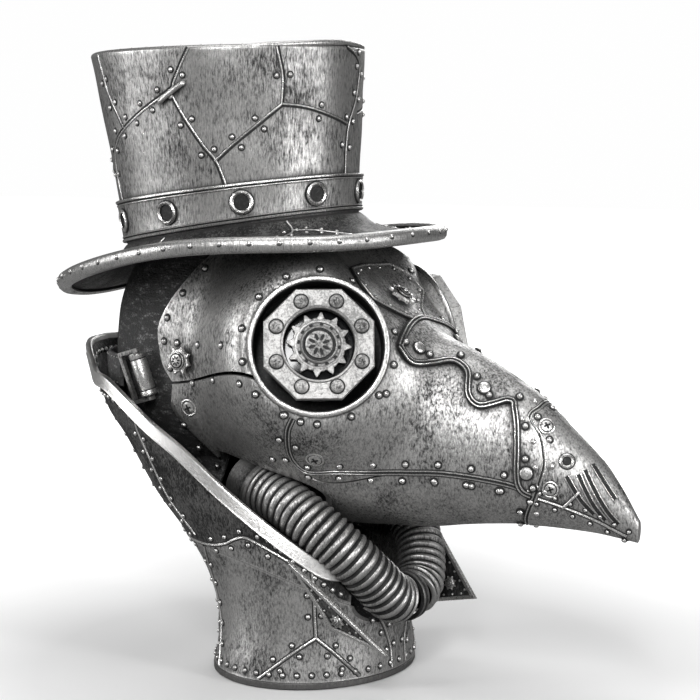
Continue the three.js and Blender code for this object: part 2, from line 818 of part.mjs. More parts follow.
// One strap runs round the back of the hood from buckle to buckle.
function rearStrap() {
  const reach = 56;
  const at = (u, v, side) => {
    const angle = THREE.MathUtils.degToRad(lerp(-reach, reach, u));
    const height = rollerPlace.z + lerp(-0.5, 0.5, v) * strapWidth;
    return strapPoint(angle, height, side ? 0.8 : 0.8 + strapWall);
  };
  return thickPatch(at, 16, 1);
}

function strapPoint(angle, height, lift) {
  const rearReach = headMiddle - headRear;
  const [middle, , half] = [headMiddle, 0, halfHead];
  const x = middle - (rearReach + lift - hoodDepth) * Math.cos(angle) ** 0.85;
  const y = Math.sign(angle) * (half + lift - hoodDepth) * Math.abs(Math.sin(angle)) ** 0.85;
  return vec(x, y, height);
}

// ---- hat --------------------------------------------------------------------------------------
const crownCount = 44;

// A point of the crown at a height above the band's lower edge, in the hat's own frame.
function crownPoint(angle, height, growth) {
  const share = height / crownHeight;
  const flare = 1 + (crownFlare - 1) * Math.max(0, share) ** 1.15;
  const tilt = crownTopTilt * clamp01(share);
  const ahead = (crownHalfLength * flare + growth) * Math.cos(angle);
  const aside = (crownHalfWidth * flare + growth) * Math.sin(angle);
  return vec(crownLean * share + ahead * Math.cos(tilt), aside, height - ahead * Math.sin(tilt));
}

function crownRing(height, growth) {
  return [...Array(crownCount).keys()].map((i) => crownPoint((i * 2 * Math.PI) / crownCount, height, growth));
}

function hatCrown() {
  const heights = [crownFoot, 0, bandHeight, 85, crownHeight - 5];
  const outer = heights.map((z) => crownRing(z, 0));
  outer.push(crownRing(crownHeight - 1.5, -1.5), crownRing(crownHeight, -6));
  const inner = heights.map((z) => crownRing(z, -crownWall)).reverse();
  const top = [vec(crownLean, 0, crownHeight + 1)];
  const ceiling = [vec(crownLean, 0, crownHeight - crownWall - 3)];
  return loft([top, ...outer.reverse(), ...inner.reverse(), ceiling]);
}

function hatBand() {
  const heights = [0, bandHeight];
  const outer = heights.map((z) => crownRing(z, bandWall + GAP));
  const inner = heights.map((z) => crownRing(z, GAP)).reverse();
  return loft([...outer, ...inner], true);
}

function sweatband() {
  const heights = [crownFoot + 1, 0, sweatbandHeight];
  const lining = -crownWall - CURVED_GAP;
  const outer = heights.map((z) => crownRing(z, lining));
  const inner = heights.map((z) => crownRing(z, lining - sweatbandWall)).reverse();
  return loft([...outer, ...inner], true);
}

// The brim's middle surface: share 0 at the crown's foot, 1 at its edge.
function brimPoint(angle, share, lift) {
  const inner = vec(crownHalfLength * Math.cos(angle), crownHalfWidth * Math.sin(angle), 0);
  const outer = vec((crownHalfLength + brimOverhang + 4) * Math.cos(angle) + brimShift,
    (crownHalfWidth + brimOverhang - 4) * Math.sin(angle), 0);
  const point = inner.lerp(outer, share);
  const edge = -brimDrop + brimCurl * Math.sin(angle) ** 2;
  const fall = Math.sin((Math.max(0, share) * Math.PI) / 2);
  return point.setZ(crownFoot - GAP - brimWall + edge * fall + lift);
}

function hatBrim() {
  const count = crownCount;
  const ringAt = (share, lift) =>
    [...Array(count).keys()].map((i) => brimPoint((i * 2 * Math.PI) / count, share, lift));
  const shares = [-0.04, 0.14, 0.45, 0.94];
  const upper = shares.map((share) => ringAt(share, brimWall));
  const lower = shares.map((share) => ringAt(share, 0)).reverse();
  return loft([...upper, ...lower], true);
}

function hatMatrix() {
  const turn = new THREE.Matrix4().makeRotationY(-hatTilt);
  return turn.setPosition(hatCentre.x, 0, hatCentre.z);
}

// The rolled binding closes on the brim's edge with the gap between them.
function brimBinding() {
  const count = crownCount;
  const rings = [...Array(count).keys()].map((i) => {
    const angle = (i * 2 * Math.PI) / count;
    const edge = brimPoint(angle, 0.94, brimWall / 2);
    const out = vec(Math.cos(angle) * 0.86, Math.sin(angle), 0).normalize();
    const middle = edge.addScaledVector(out, bindingRadius + GAP + 0.2);
    return bindingSection(middle, out);
  });
  return loft(rings, true);
}

function bindingSection(middle, out) {
  return [...Array(bindingSides).keys()].map((k) => {
    const turn = (k * 2 * Math.PI) / bindingSides;
    return middle.clone()
      .addScaledVector(out, bindingRadius * Math.cos(turn))
      .add(vec(0, 0, bindingRadius * Math.sin(turn)));
  });
}

function hatEyelet(i) {
  const angle = eyeletTurn + (i * 2 * Math.PI) / eyeletCount;
  const at = crownPoint(angle, bandHeight / 2, bandWall + 2 * GAP + eyeletLift);
  const normal = vec(Math.cos(angle) / crownHalfLength, Math.sin(angle) / crownHalfWidth, 0);
  const ring = eyeletRing(eyeletRadius, eyeletHole, 2.6);
  return facing(at, normal, piece(`hat_eyelet_${i + 1}`, ring, brightSilver()));
}

function topHat() {
  const hat = new THREE.Group();
  hat.applyMatrix4(hatMatrix());
  hat.add(
    piece("hat_crown", hatCrown(), silver()),
    piece("hat_brim", hatBrim(), darkSilver()),
    piece("hat_band", hatBand(), silver()),
    piece("brim_binding", brimBinding(), silver()),
    piece("hat_sweatband", sweatband(), leather()),
  );
  for (let i = 0; i < eyeletCount; i++) hat.add(hatEyelet(i));
  return hat;
}

// ---- collar -----------------------------------------------------------------------------------
// Height, rear, front and half width of the neck piece and the flaring collar above it.
const collarRings = tableCurve([
  [0, -112, 46, halfHead + 12],
  [40, -108, 44, halfHead + 6],
  [76, -120, 50, halfHead + 6],
  [105, -140, 52, halfHead + 10],
  [140, -172, 50, halfHead + 17],
  [184, -203, 42, halfHead + 21],
  [205, -220, 36, halfHead + 23],
  [262, -246, 14, halfHead + 25],
]);

// angle is measured from the rear, in degrees.
function collarPoint(angle, z, depth) {
  const [rear, front, halfWidth] = collarRings(z);
  const turn = THREE.MathUtils.degToRad(angle);
  const middle = (rear + front) / 2;
  const x = middle - ((front - rear) / 2 - depth) * Math.cos(turn);
  return vec(x, (halfWidth - depth) * Math.sin(turn), z);
}

const collarTop = tableCurve([
  [0, 258], [24, 254], [36, 236], [56, 230], [79, 192], [96, 154], [114, 118], [128, 98], [142, 86], [180, 60],
]);
const gorgetTop = (angle) => lerp(52, 104, smooth((180 - Math.abs(angle)) / 120));
const collarEnd = 142;

function gorget() {
  const count = 40;
  const ringAt = (share, depth) => [...Array(count).keys()].map((i) => {
    const angle = (i * 360) / count - 180;
    return collarPoint(angle, lerp(baseHeight + GAP, gorgetTop(angle), share), depth);
  });
  const shares = steps(3);
  const outer = shares.map((share) => ringAt(share, 0));
  const inner = shares.map((share) => ringAt(share, collarWall)).reverse();
  return cut(loft([...outer, ...inner], true), neckTool(GAP), valveTool());
}

function collar() {
  const at = (u, v, side) => {
    const angle = lerp(-collarEnd, collarEnd, u);
    const low = gorgetTop(angle) + GAP;
    const high = collarTop(Math.abs(angle))[0];
    return collarPoint(angle, lerp(low, high, v), side * collarWall);
  };
  return keepLargest(cut(thickPatch(at, 40, 5), ...SIDES.map(({ sign }) => hoseRod(sign))));
}

function baseRing() {
  const outer = [0, baseHeight].map((z) => baseEllipse(z, 0));
  const inner = [baseHeight, 0].map((z) => baseEllipse(z, baseWidth));
  return loft([...outer, ...inner], true);
}

function baseEllipse(z, inset) {
  const [rear, front, halfWidth] = collarRings(0);
  const middle = vec((rear + front) / 2, 0, z);
  return ellipse(40, (front - rear) / 2 - inset, halfWidth - inset, middle);
}

function valveTool() {
  const end = hosePath.at(-1);
  const radius = hoseRadius + GAP;
  const rod = turned([[0, -60], [radius, -60], [radius, 60], [0, 60]], 20);
  return rod.rotateX(Math.PI / 2).translate(end[0], 0, end[2]);
}

// Each lapel is a pointed flap: upper corner on the collar, tip, lower inner corner. Each
// corner has its x, its distance outwards past the side of the head, and its height.
const lapelCorners = {
  right: [[2, 18, 106], [77, -4, 37], [30, 0, 52]],
  left: [[38, -4, 107], [84, -19, 52], [46, -14, 44]],
};
const lapelWall = 3.2;

function lapel({ word, sign }) {
  const place = ([x, outwards, z]) => vec(x, sign * (halfHead + outwards), z);
  const [upper, tip, inner] = lapelCorners[word].map(place);
  const normal = tip.clone().sub(upper).cross(inner.clone().sub(upper)).normalize();
  const top = [upper, tip, inner].map((p) => p.clone().addScaledVector(normal, lapelWall / 2));
  const bottom = [upper, tip, inner].map((p) => p.clone().addScaledVector(normal, -lapelWall / 2));
  return loft([bottom, top]);
}

// ---- the whole object -------------------------------------------------------------------------
function mask() {
  const group = new THREE.Group();
  group.add(
    piece("hood", hood(), leather()),
    piece("neck_sleeve", neckSleeve(), leather()),
    piece("mask_upper", maskUpper(), silver()),
    piece("mask_lower", maskLower(), silver()),
    piece("bridge_plate", bridgePlate(), silver()),
    piece("brow_plate", browPlate(), silver()),
    piece("beak_tip", beakTip(), silver()),
    piece("throat_valve", throatValve(), darkSilver()),
    piece("rear_strap", rearStrap(), leather()),
  );
  const emblem = joined(
    plate(gearShape(10, 9.5, 12), 2.4, 6),
    turned([[0, 1], [6, 1], [6, 4], [5, 5], [0, 5]], 20),
  );
  group.add(onMask(browMiddle + 8, 1e-4, bridgeWall + browLift + 0.8, piece("brow_gear", emblem, brightSilver())));
  for (const side of SIDES) {
    group.add(eyepiece(side), ...sideFittings(side), hoseSocket(side));
    group.add(piece(`hose_${side.word}`, hose(side.sign), hoseRubber()));
    group.add(strapRoller(side), strapBuckle(side));
  }
  return group;
}

function collarGroup() {
  const group = new THREE.Group();
  group.add(
    piece("gorget", gorget(), silver()),
    piece("collar", collar(), darkSilver()),
    piece("base_ring", baseRing(), darkSilver()),
  );
  for (const side of SIDES) {
    group.add(piece(`lapel_${side.word}`, lapel(side), silver()));
  }
  return group;
}

const headpiece = new THREE.Group();
headpiece.add(topHat(), mask(), collarGroup());

// The frame's origin is the middle of the object's box, at its foot.
headpiece.updateMatrixWorld(true);
const middle = new THREE.Box3().setFromObject(headpiece, true).getCenter(vec(0, 0, 0));
headpiece.position.set(-middle.x, -middle.y, 0);

export default headpiece;
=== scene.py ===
# %% [markdown]
# # A steampunk plague doctor headpiece
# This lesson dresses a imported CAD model: a beaked metal mask, a leather hood, a riveted top hat
# that lifts off, two breathing hoses and a tall collar. The CAD model holds every size and every
# joint. Here each of its plain solids is given the surface that a metalworker would give it:
# seams, rivets, bolts, wear and a black wash in the hollows.
# The frame is loaded first, because every piece has to ride on one of its bodies.

import json
import math

import bmesh
import bpy
import numpy as np
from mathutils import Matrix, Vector


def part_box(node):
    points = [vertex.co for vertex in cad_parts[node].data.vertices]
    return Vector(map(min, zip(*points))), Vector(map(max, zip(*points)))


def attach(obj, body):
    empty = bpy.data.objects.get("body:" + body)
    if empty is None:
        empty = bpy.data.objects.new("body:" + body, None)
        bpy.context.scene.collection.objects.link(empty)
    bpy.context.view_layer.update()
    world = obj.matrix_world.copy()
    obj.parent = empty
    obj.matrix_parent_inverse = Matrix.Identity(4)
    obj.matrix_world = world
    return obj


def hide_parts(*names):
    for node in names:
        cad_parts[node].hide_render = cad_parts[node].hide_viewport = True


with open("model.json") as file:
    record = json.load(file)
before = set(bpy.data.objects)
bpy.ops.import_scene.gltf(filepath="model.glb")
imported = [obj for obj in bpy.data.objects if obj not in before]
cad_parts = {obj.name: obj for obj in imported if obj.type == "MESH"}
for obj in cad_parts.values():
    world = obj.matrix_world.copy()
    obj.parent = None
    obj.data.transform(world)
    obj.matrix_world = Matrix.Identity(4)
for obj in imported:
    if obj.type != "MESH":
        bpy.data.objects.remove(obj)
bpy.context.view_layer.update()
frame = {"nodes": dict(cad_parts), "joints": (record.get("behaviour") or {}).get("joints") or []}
HEAD, HAT = "head_and_collar", "top_hat"
SIDES = {"right": -1, "left": 1}

# %% [markdown]
# The drawing of this headpiece is in millimetres, with the beak's root as its landmark. The CAD
# model's origin is the middle of its own box, so one shift along X takes the drawing's places to
# the frame's. It is read from the beak tip, whose place in the drawing is known: measuring it
# is safer than typing it, because it follows when the CAD model is packed again.

# %% From drawing millimetres to frame metres
BEAK_TIP = 249
X_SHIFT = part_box("beak_tip")[1].x * 1000 - BEAK_TIP


def to_frame(points):
    return (np.asarray(points, float) + [X_SHIFT, 0, 0]) / 1000


print("shift along X, mm:", round(X_SHIFT, 2))

# %% [markdown]
# Every curved plate here is a formula: two numbers go in, such as a place along the beak and a
# share round it, and a point comes out. Formulas beat sculpting for a riveted piece, because a
# rivet can then be put exactly on the skin, square to it. These small helpers read a smooth curve
# through a few measured rows, and turn directions into unit vectors.

# %% Small maths
def unit(v):
    v = np.asarray(v, float)
    return v / np.maximum(np.linalg.norm(v, axis=-1, keepdims=True), 1e-9)


def smooth(t):
    t = np.clip(t, 0, 1)
    return t * t * (3 - 2 * t)


def lerp(a, b, t):
    return a + (b - a) * t


def curve_through(rows):
    """A smooth curve through rows of (position, value, ...), read at any positions."""
    rows = np.array(rows, float)
    last = len(rows) - 1
    low, high = rows[np.maximum(np.arange(last + 1) - 1, 0)], rows[np.minimum(np.arange(last + 1) + 1, last)]
    slopes = (high[:, 1:] - low[:, 1:]) / (high[:, :1] - low[:, :1])

    def read(x):
        x = np.asarray(x, float)
        i = np.clip(np.searchsorted(rows[:, 0], x, side="right"), 1, last)
        a, b = rows[i - 1], rows[i]
        width = (b[..., 0] - a[..., 0])[..., None]
        t = np.clip((x[..., None] - a[..., :1]) / width, 0, 1)
        start, end = slopes[i - 1] * width, slopes[i] * width
        rise = b[..., 1:] - a[..., 1:]
        return a[..., 1:] + start * t + (3 * rise - 2 * start - end) * t**2 + (start + end - 2 * rise) * t**3

    return read


def through(corners, count=12):
    """A dense smooth line through a few corners (Catmull-Rom)."""
    c = np.array(corners, float)
    c = np.vstack([2 * c[0] - c[1], c, 2 * c[-1] - c[-2]])
    t = np.linspace(0, 1, count, endpoint=False)[:, None]
    out = []
    for a, b, d, e in zip(c, c[1:], c[2:], c[3:]):
        out.append(
            0.5 * (
                2 * b + (d - a) * t + (2 * a - 5 * b + 4 * d - e) * t**2 + (3 * b - a - 3 * d + e) * t**3
            )
        )
    return np.vstack([*out, c[-2]])


def even(points, step):
    """The same line with its points an equal step apart, and the numbers that go along."""
    length = np.concatenate([[0], np.cumsum(np.linalg.norm(np.diff(points[:, :3], axis=0), axis=1))])
    count = max(2, int(round(length[-1] / step)) + 1)
    at = np.linspace(0, length[-1], count)
    return np.stack([np.interp(at, length, column) for column in points.T], 1)

# %% [markdown]
# The head and the beak are one skin. Its sections are rounded ovals, each set by its top, its
# widest level, its bottom, its half width and how square it is. Round each eyepiece the skin
# swells up to the socket's rim, as a metalworker would raise it with a hammer.

# %% The skin of the mask and the hood
HALF_HEAD, HEAD_REAR, HEAD_MIDDLE, HEAD_TOP = 80, -221, -110, 372
BEAK_ROOT, BEAK_LENGTH = 45, 202
EYE_AT, EYE_AXIS = (30, 98, 274), unit((0.53, 0.82, 0.22))
SOCKET_RADIUS, RIM_DROP, SWELL_WIDTH = 52, 16, 50


def beak_at(share):
    return BEAK_ROOT + share * BEAK_LENGTH


head_section = curve_through([
    [-110, HEAD_TOP, 256, 150, HALF_HEAD, 2.4],
    [-60, HEAD_TOP - 3, 250, 134, HALF_HEAD - 1, 2.4],
    [-20, HEAD_TOP - 19, 232, 124, HALF_HEAD - 4, 2.4],
    [12, HEAD_TOP - 46, 210, 121, HALF_HEAD - 9, 2.3],
    [BEAK_ROOT, 299, 192, 122, HALF_HEAD - 20, 2.15],
    [beak_at(0.18), 274, 181, 124, HALF_HEAD - 30, 2.05],
    [beak_at(0.31), 263, 177, 128, HALF_HEAD - 36, 2],
    [beak_at(0.43), 251, 174, 131, HALF_HEAD - 42, 2],
    [beak_at(0.6), 231, 169, 134, HALF_HEAD - 50, 2],
    [beak_at(0.74), 207, 163, 134, HALF_HEAD - 58, 2],
    [beak_at(0.85), 187, 156, 133, HALF_HEAD - 64.5, 2],
    [beak_at(0.93), 167, 148, 131, HALF_HEAD - 70.5, 2],
    [beak_at(1), 145, 139, 129, HALF_HEAD - 77, 2],
])


def head_skin(x, q, lift=0.0):
    """q is the share round the section: 0 at the top, 0.5 at its widest, 1 below; negative on the right."""
    x, q = np.broadcast_arrays(np.asarray(x, float), np.asarray(q, float))
    back = np.clip((HEAD_MIDDLE - x) / (HEAD_MIDDLE - HEAD_REAR), 0, 1)
    shrink = np.sqrt(1 - back * back)
    top, level, bottom, half, square = np.moveaxis(head_section(np.maximum(x, HEAD_MIDDLE)), -1, 0)
    cos, sin = np.cos(np.abs(q) * np.pi), np.sin(np.abs(q) * np.pi)
    rise = np.where(cos > 0, top - level + lift, -(level - bottom + lift))
    y = np.sign(q) * (half + lift) * np.abs(sin) ** (2 / square) * shrink
    return np.stack([x - back * lift, y, level + rise * np.abs(cos) ** (2 / square) * shrink], -1)


def eye_frame(sign):
    return np.array(EYE_AT) * [1, sign, 1], EYE_AXIS * [1, sign, 1]


def mask_skin(x, q, lift=0.0):
    point = head_skin(x, q, lift)
    side = np.where(point[..., 1] < 0, -1.0, 1.0)
    origin = np.array(EYE_AT) * np.stack([np.ones_like(side), side, np.ones_like(side)], -1)
    axis = EYE_AXIS * np.stack([np.ones_like(side), side, np.ones_like(side)], -1)
    offset = point - origin
    along = np.sum(offset * axis, -1)
    away = np.linalg.norm(offset - axis * along[..., None], axis=-1)
    near = smooth(1 - (away - SOCKET_RADIUS - 3) / SWELL_WIDTH)
    beside = smooth((np.abs(point[..., 1]) - 8) / 38)
    rise = near * beside * np.maximum(0, -RIM_DROP - 2 + lift - along)
    return point + axis * rise[..., None]


def square_to(surface, a, b, step=(1.0, 0.006), inside=None):
    """The point of a surface at a, b and the direction that stands square on it, outwards."""
    a, b = np.asarray(a, float), np.asarray(b, float)
    point = surface(a, b)
    n = unit(
        np.cross(
            surface(a + step[0], b) - surface(a - step[0], b),
            surface(a, b + step[1]) - surface(a, b - step[1])
        )
    )
    away = point - (inside(point) if inside else surface(a, b, -8.0))
    return point, n * np.sign(np.sum(n * away, -1, keepdims=True))


print("skin at the beak's root:", np.round(to_frame(mask_skin(BEAK_ROOT, 0.5)), 4))

# %% [markdown]
# The hat has its own tilted frame. Its crown flares upwards and its top leans, and the brim droops
# at the front and the rear and curls up at the sides. The collar is a stack of ovals that flares
# to the rear, and its height follows one curve from the nape to the throat.

# %% The surfaces of the hat and the collar
HAT_AT, HAT_TILT = np.array([-102, 0, 354.5]), math.radians(9)
CROWN_LENGTH, CROWN_WIDTH, CROWN_HEIGHT, CROWN_FLARE = 100, 85, 143, 1.17
CROWN_TILT, CROWN_LEAN, CROWN_FOOT = math.radians(8), 8, -8
BRIM_REACH, BRIM_SHIFT, BRIM_DROP, BRIM_CURL, BRIM_WALL = 55, 4, 20, 14, 4
HAT_AXIS = np.array([-math.sin(HAT_TILT), 0, math.cos(HAT_TILT)])


def hat_to_head(p):
    p = np.asarray(p, float)
    c, s = math.cos(HAT_TILT), math.sin(HAT_TILT)
    return np.stack([p[..., 0] * c - p[..., 2] * s, p[..., 1], p[..., 0] * s + p[..., 2] * c], -1) + HAT_AT


def crown_skin(angle, height, lift=0.0):
    """angle is in degrees from the front towards the left side, height above the band's lower edge."""
    angle, height = np.broadcast_arrays(np.radians(angle), np.asarray(height, float))
    share = height / CROWN_HEIGHT
    flare = 1 + (CROWN_FLARE - 1) * np.maximum(0, share) ** 1.15
    tilt = CROWN_TILT * np.clip(share, 0, 1)
    ahead = (CROWN_LENGTH * flare + lift) * np.cos(angle)
    aside = (CROWN_WIDTH * flare + lift) * np.sin(angle)
    return hat_to_head(
        np.stack([CROWN_LEAN * share + ahead * np.cos(tilt), aside, height - ahead * np.sin(tilt)], -1)
    )


def brim_skin(angle, share, lift=0.0):
    """share is 0 at the crown's foot and 1 at the brim's edge."""
    angle, share = np.broadcast_arrays(np.radians(angle), np.asarray(share, float))
    c, s = np.cos(angle), np.sin(angle)
    x = lerp(CROWN_LENGTH * c, (CROWN_LENGTH + BRIM_REACH + 4) * c + BRIM_SHIFT, share)
    y = lerp(CROWN_WIDTH * s, (CROWN_WIDTH + BRIM_REACH - 4) * s, share)
    edge = -BRIM_DROP + BRIM_CURL * s**2
    z = CROWN_FOOT - 0.3 + edge * np.sin(np.maximum(0, share) * np.pi / 2) + lift
    return hat_to_head(np.stack([x, y, z], -1))


collar_section = curve_through([
    [0, -112, 46, 92], [40, -108, 44, 86], [76, -120, 50, 86], [105, -140, 52, 90],
    [140, -172, 50, 97], [184, -203, 42, 101], [205, -220, 36, 103], [262, -246, 14, 105],
])
collar_edge = curve_through(
    [
        [0, 258], [24, 254], [36, 236], [56, 230], [79, 192], [96, 154], [114, 118], [128, 98], [142, 86],
        [180, 60],
    ]
)
COLLAR_END, COLLAR_WALL, BASE_HEIGHT = 142, 3, 5


def collar_skin(angle, z, lift=0.0):
    """angle is in degrees from the rear towards the left side."""
    angle, z = np.broadcast_arrays(np.radians(angle), np.asarray(z, float))
    rear, front, half = np.moveaxis(collar_section(z), -1, 0)
    x = (rear + front) / 2 - ((front - rear) / 2 + lift) * np.cos(angle)
    return np.stack([x, (half + lift) * np.sin(angle), z], -1)


def gorget_edge(angle):
    return lerp(52, 104, smooth((180 - np.abs(angle)) / 120))


print("crown at the band's front:", np.round(to_frame(crown_skin(0, 0)), 4))

# %% [markdown]
# The real piece is antique silver: a bright metal is brushed with black wash, and the wash is
# wiped off again, so it stays in every hollow and wears through on every edge. Painting that by
# hand would take days. A node finish does it for every piece at once: Ambient Occlusion finds
# the hollows, a fine noise gives the wiped, stippled grain, and Pointiness finds the edges. A
# second, wider Ambient Occlusion paints shade where nearby parts crowd the metal.

# %% Node helpers
def node(tree, kind, inputs=None, **settings):
    made = tree.nodes.new(kind)
    for key, value in settings.items():
        setattr(made, key, value)
    for key, value in (inputs or {}).items():
        if isinstance(value, bpy.types.NodeSocket):
            tree.links.new(value, made.inputs[key])
        else:
            made.inputs[key].default_value = value
    return made


def new_finish(name):
    made = bpy.data.materials.new(name)
    made.use_nodes = True
    tree = made.node_tree
    place = node(tree, "ShaderNodeTexCoord").outputs["Object"]
    return made, tree, tree.nodes["Principled BSDF"], place


def noise(tree, place, scale, detail=4, roughness=0.6, stretch=(1, 1, 1)):
    turned = node(tree, "ShaderNodeMapping", {"Vector": place, "Scale": stretch})
    return node(
        tree, "ShaderNodeTexNoise",
        {"Vector": turned.outputs[0], "Scale": scale, "Detail": detail, "Roughness": roughness}
    ).outputs["Fac"]


def between(tree, value, low, high, to_low=0.0, to_high=1.0):
    return node(
        tree, "ShaderNodeMapRange",
        {"Value": value, "From Min": low, "From Max": high, "To Min": to_low, "To Max": to_high}
    ).outputs[0]


def times(tree, a, b):
    return node(tree, "ShaderNodeMath", {0: a, 1: b}, operation="MULTIPLY").outputs[0]


def plus(tree, a, b):
    return node(tree, "ShaderNodeMath", {0: a, 1: b}, operation="ADD", use_clamp=True).outputs[0]

# %% The antique silver finishes
def antique_silver(name, bright, wash_and_shade, hollow_mm=5.0, worn=0.5, rough=0.3, brush=(1, 1, 1), stipple=1.0):
    """bright is the grey of bare metal, and wash_and_shade the grey of blackened metal and of painted shade;
    worn is how much is wiped back to bare metal.
    """
    made, tree, shader, place = new_finish(name)
    hollow = node(
        tree, "ShaderNodeAmbientOcclusion", {"Distance": hollow_mm / 1000}, samples=6, only_local=False
    ).outputs["AO"]
    open_metal = between(tree, hollow, 0.45, 0.95)
    edge = between(tree, node(tree, "ShaderNodeNewGeometry").outputs["Pointiness"], 0.51, 0.56)
    patches = between(tree, noise(tree, place, 26, 6, 0.7), 0.34, 0.66)
    grain = between(tree, noise(tree, place, 760, 3, 0.7, brush), 0.38, 0.64)
    scratch = between(tree, noise(tree, place, 420, 6, 0.75, brush), 0.40, 0.62)
    wiped = plus(tree, times(tree, patches, 0.45), times(tree, grain, 0.35 * stipple))
    wiped = plus(tree, times(tree, wiped, 0.9), times(tree, scratch, 0.38))
    clean_and_unshaded = between(tree, wiped, 0.66 - worn, 1.25 - worn)
    # Painted shade: a wide 30 mm Ambient Occlusion darkens the metal towards the dark grey where nearby parts
    # crowd it.
    painted_shade = node(tree, "ShaderNodeAmbientOcclusion", {"Distance": 0.03}, samples=4).outputs["AO"]
    clean_and_unshaded = times(tree, clean_and_unshaded, between(tree, painted_shade, 0.35, 0.85, 0.35, 1.0))
    clean_and_unshaded = plus(tree, times(tree, clean_and_unshaded, open_metal), times(tree, edge, 0.5))
    colour = node(
        tree, "ShaderNodeMix",
        {0: clean_and_unshaded, 6: (wash_and_shade, wash_and_shade, wash_and_shade, 1), 7: (bright, bright * 0.99, bright * 0.975, 1)},
        data_type="RGBA"
    )
    shader.inputs["Base Color"].default_value = (bright, bright, bright, 1)
    tree.links.new(colour.outputs[2], shader.inputs["Base Color"])
    tree.links.new(between(tree, clean_and_unshaded, 0, 1, 0.55, 1.0), shader.inputs["Metallic"])
    tree.links.new(
        plus(tree, between(tree, clean_and_unshaded, 0, 1, rough + 0.3, rough), times(tree, grain, 0.12)),
        shader.inputs["Roughness"]
    )
    height = plus(tree, times(tree, grain, 0.5), times(tree, scratch, 0.5))
    bump = node(tree, "ShaderNodeBump", {"Height": height, "Strength": 0.22, "Distance": 0.0006})
    tree.links.new(bump.outputs[0], shader.inputs["Normal"])
    return made


SILVER = antique_silver("antique_silver", 0.64, 0.03, worn=0.46, rough=0.24, brush=(1.2, 1.2, 0.5))
HAT_SILVER = antique_silver("hat_silver", 0.66, 0.03, worn=0.46, rough=0.22, brush=(1.6, 1.6, 0.3))
BRIGHT = antique_silver("bright_silver", 0.78, 0.05, hollow_mm=3, worn=0.66, rough=0.22, stipple=0.6)
AGED_SILVER = antique_silver("aged_silver", 0.5, 0.02, hollow_mm=7, worn=0.34, rough=0.36, stipple=1.2)
EDGE_SILVER = antique_silver(
    "edge_silver", 0.9, 0.12, hollow_mm=2, worn=0.85, rough=0.3, brush=(0.6, 0.6, 0.6), stipple=0.5
)
# Dark silver. On the collar this darkness is painted shade, for the shade under the collar's flare.
DARK_SILVER = antique_silver(
    "dark_silver_and_painted_shade", 0.26, 0.012, hollow_mm=8, worn=0.3, rough=0.36, brush=(1.4, 1.4, 0.5)
)
HOSE_SILVER = antique_silver(
    "hose_silver", 0.62, 0.02, hollow_mm=3, worn=0.5, rough=0.28, brush=(1.4, 1.4, 0.5)
)
print("finishes:", [m.name for m in (SILVER, HAT_SILVER, BRIGHT, DARK_SILVER, HOSE_SILVER)])

# %% [markdown]
# Three finishes aren't metal. The black wash itself lies as a matt paint in the grooves and round
# the foot of each rivet. The hood and the straps are dark creased leather, whose high grain has
# been rubbed with silver. The lenses are nearly black and glossy.

# %% Wash, leather and lens
def black_wash():
    made, tree, shader, place = new_finish("black_wash")
    dust = between(tree, noise(tree, place, 500, 3), 0.5, 0.8, 0.006, 0.05)
    grey = node(tree, "ShaderNodeCombineColor", {0: dust, 1: dust, 2: dust})
    tree.links.new(grey.outputs[0], shader.inputs["Base Color"])
    shader.inputs["Roughness"].default_value = 0.62
    return made


def creased_leather(name, dark, rub):
    made, tree, shader, place = new_finish(name)
    cells = node(
        tree, "ShaderNodeTexVoronoi", {"Vector": place, "Scale": 330}, feature="DISTANCE_TO_EDGE"
    ).outputs["Distance"]
    pebble = between(tree, cells, 0.0, 0.28)
    creases = between(tree, noise(tree, place, 46, 7, 0.7, (0.6, 1, 1.8)), 0.42, 0.60)
    rubbed = times(tree, between(tree, noise(tree, place, 150, 6, 0.8, (0.5, 1, 1.5)), 0.52, 0.68), pebble)
    colour = node(
        tree, "ShaderNodeMix", {0: rubbed, 6: (dark, dark, dark, 1), 7: (rub, rub, rub, 1)},
        data_type="RGBA"
    )
    tree.links.new(colour.outputs[2], shader.inputs["Base Color"])
    tree.links.new(times(tree, rubbed, 0.85), shader.inputs["Metallic"])
    tree.links.new(between(tree, rubbed, 0, 1, 0.55, 0.32), shader.inputs["Roughness"])
    height = plus(tree, times(tree, pebble, 0.35), times(tree, creases, 0.65))
    bump = node(tree, "ShaderNodeBump", {"Height": height, "Strength": 0.6, "Distance": 0.0016})
    tree.links.new(bump.outputs[0], shader.inputs["Normal"])
    return made


def dark_lens():
    made, tree, shader, place = new_finish("dark_lens")
    smear = between(tree, noise(tree, place, 90, 4), 0.4, 0.7, 0.06, 0.22)
    tree.links.new(smear, shader.inputs["Roughness"])
    tint = node(
        tree, "ShaderNodeMix",
        {0: noise(tree, place, 30, 3), 6: (0.006, 0.007, 0.008, 1), 7: (0.02, 0.021, 0.023, 1)},
        data_type="RGBA"
    )
    tree.links.new(tint.outputs[2], shader.inputs["Base Color"])
    return made


WASH = black_wash()
LEATHER = creased_leather("rubbed_leather", 0.028, 0.42)
STRAP_LEATHER = creased_leather("strap_leather", 0.05, 0.5)
LENS = dark_lens()
print("more finishes:", [m.name for m in (WASH, LEATHER, STRAP_LEATHER, LENS)])

# %% [markdown]
# Every piece below is made by the same few tools: a sheet with a wall, a stack of rings, a tube
# along a line, a turned part, and a stamp that sets many copies of a small part square on a skin.
# Plain mesh code is used, and not a chain of modifiers, because the rivets need the exact skin.
# Thin metal never has a knife edge, so the sheets get a small bevel.

# %% Turning points and faces into a piece
def quads(rows, columns, ring=False, start=0):
    i, j = np.meshgrid(np.arange(rows - 1), np.arange(columns if ring else columns - 1), indexing="ij")
    k = (j + 1) % columns
    cells = np.stack([i * columns + j, i * columns + k, (i + 1) * columns + k, (i + 1) * columns + j], -1)
    return (cells.reshape(-1, 4) + start).tolist()


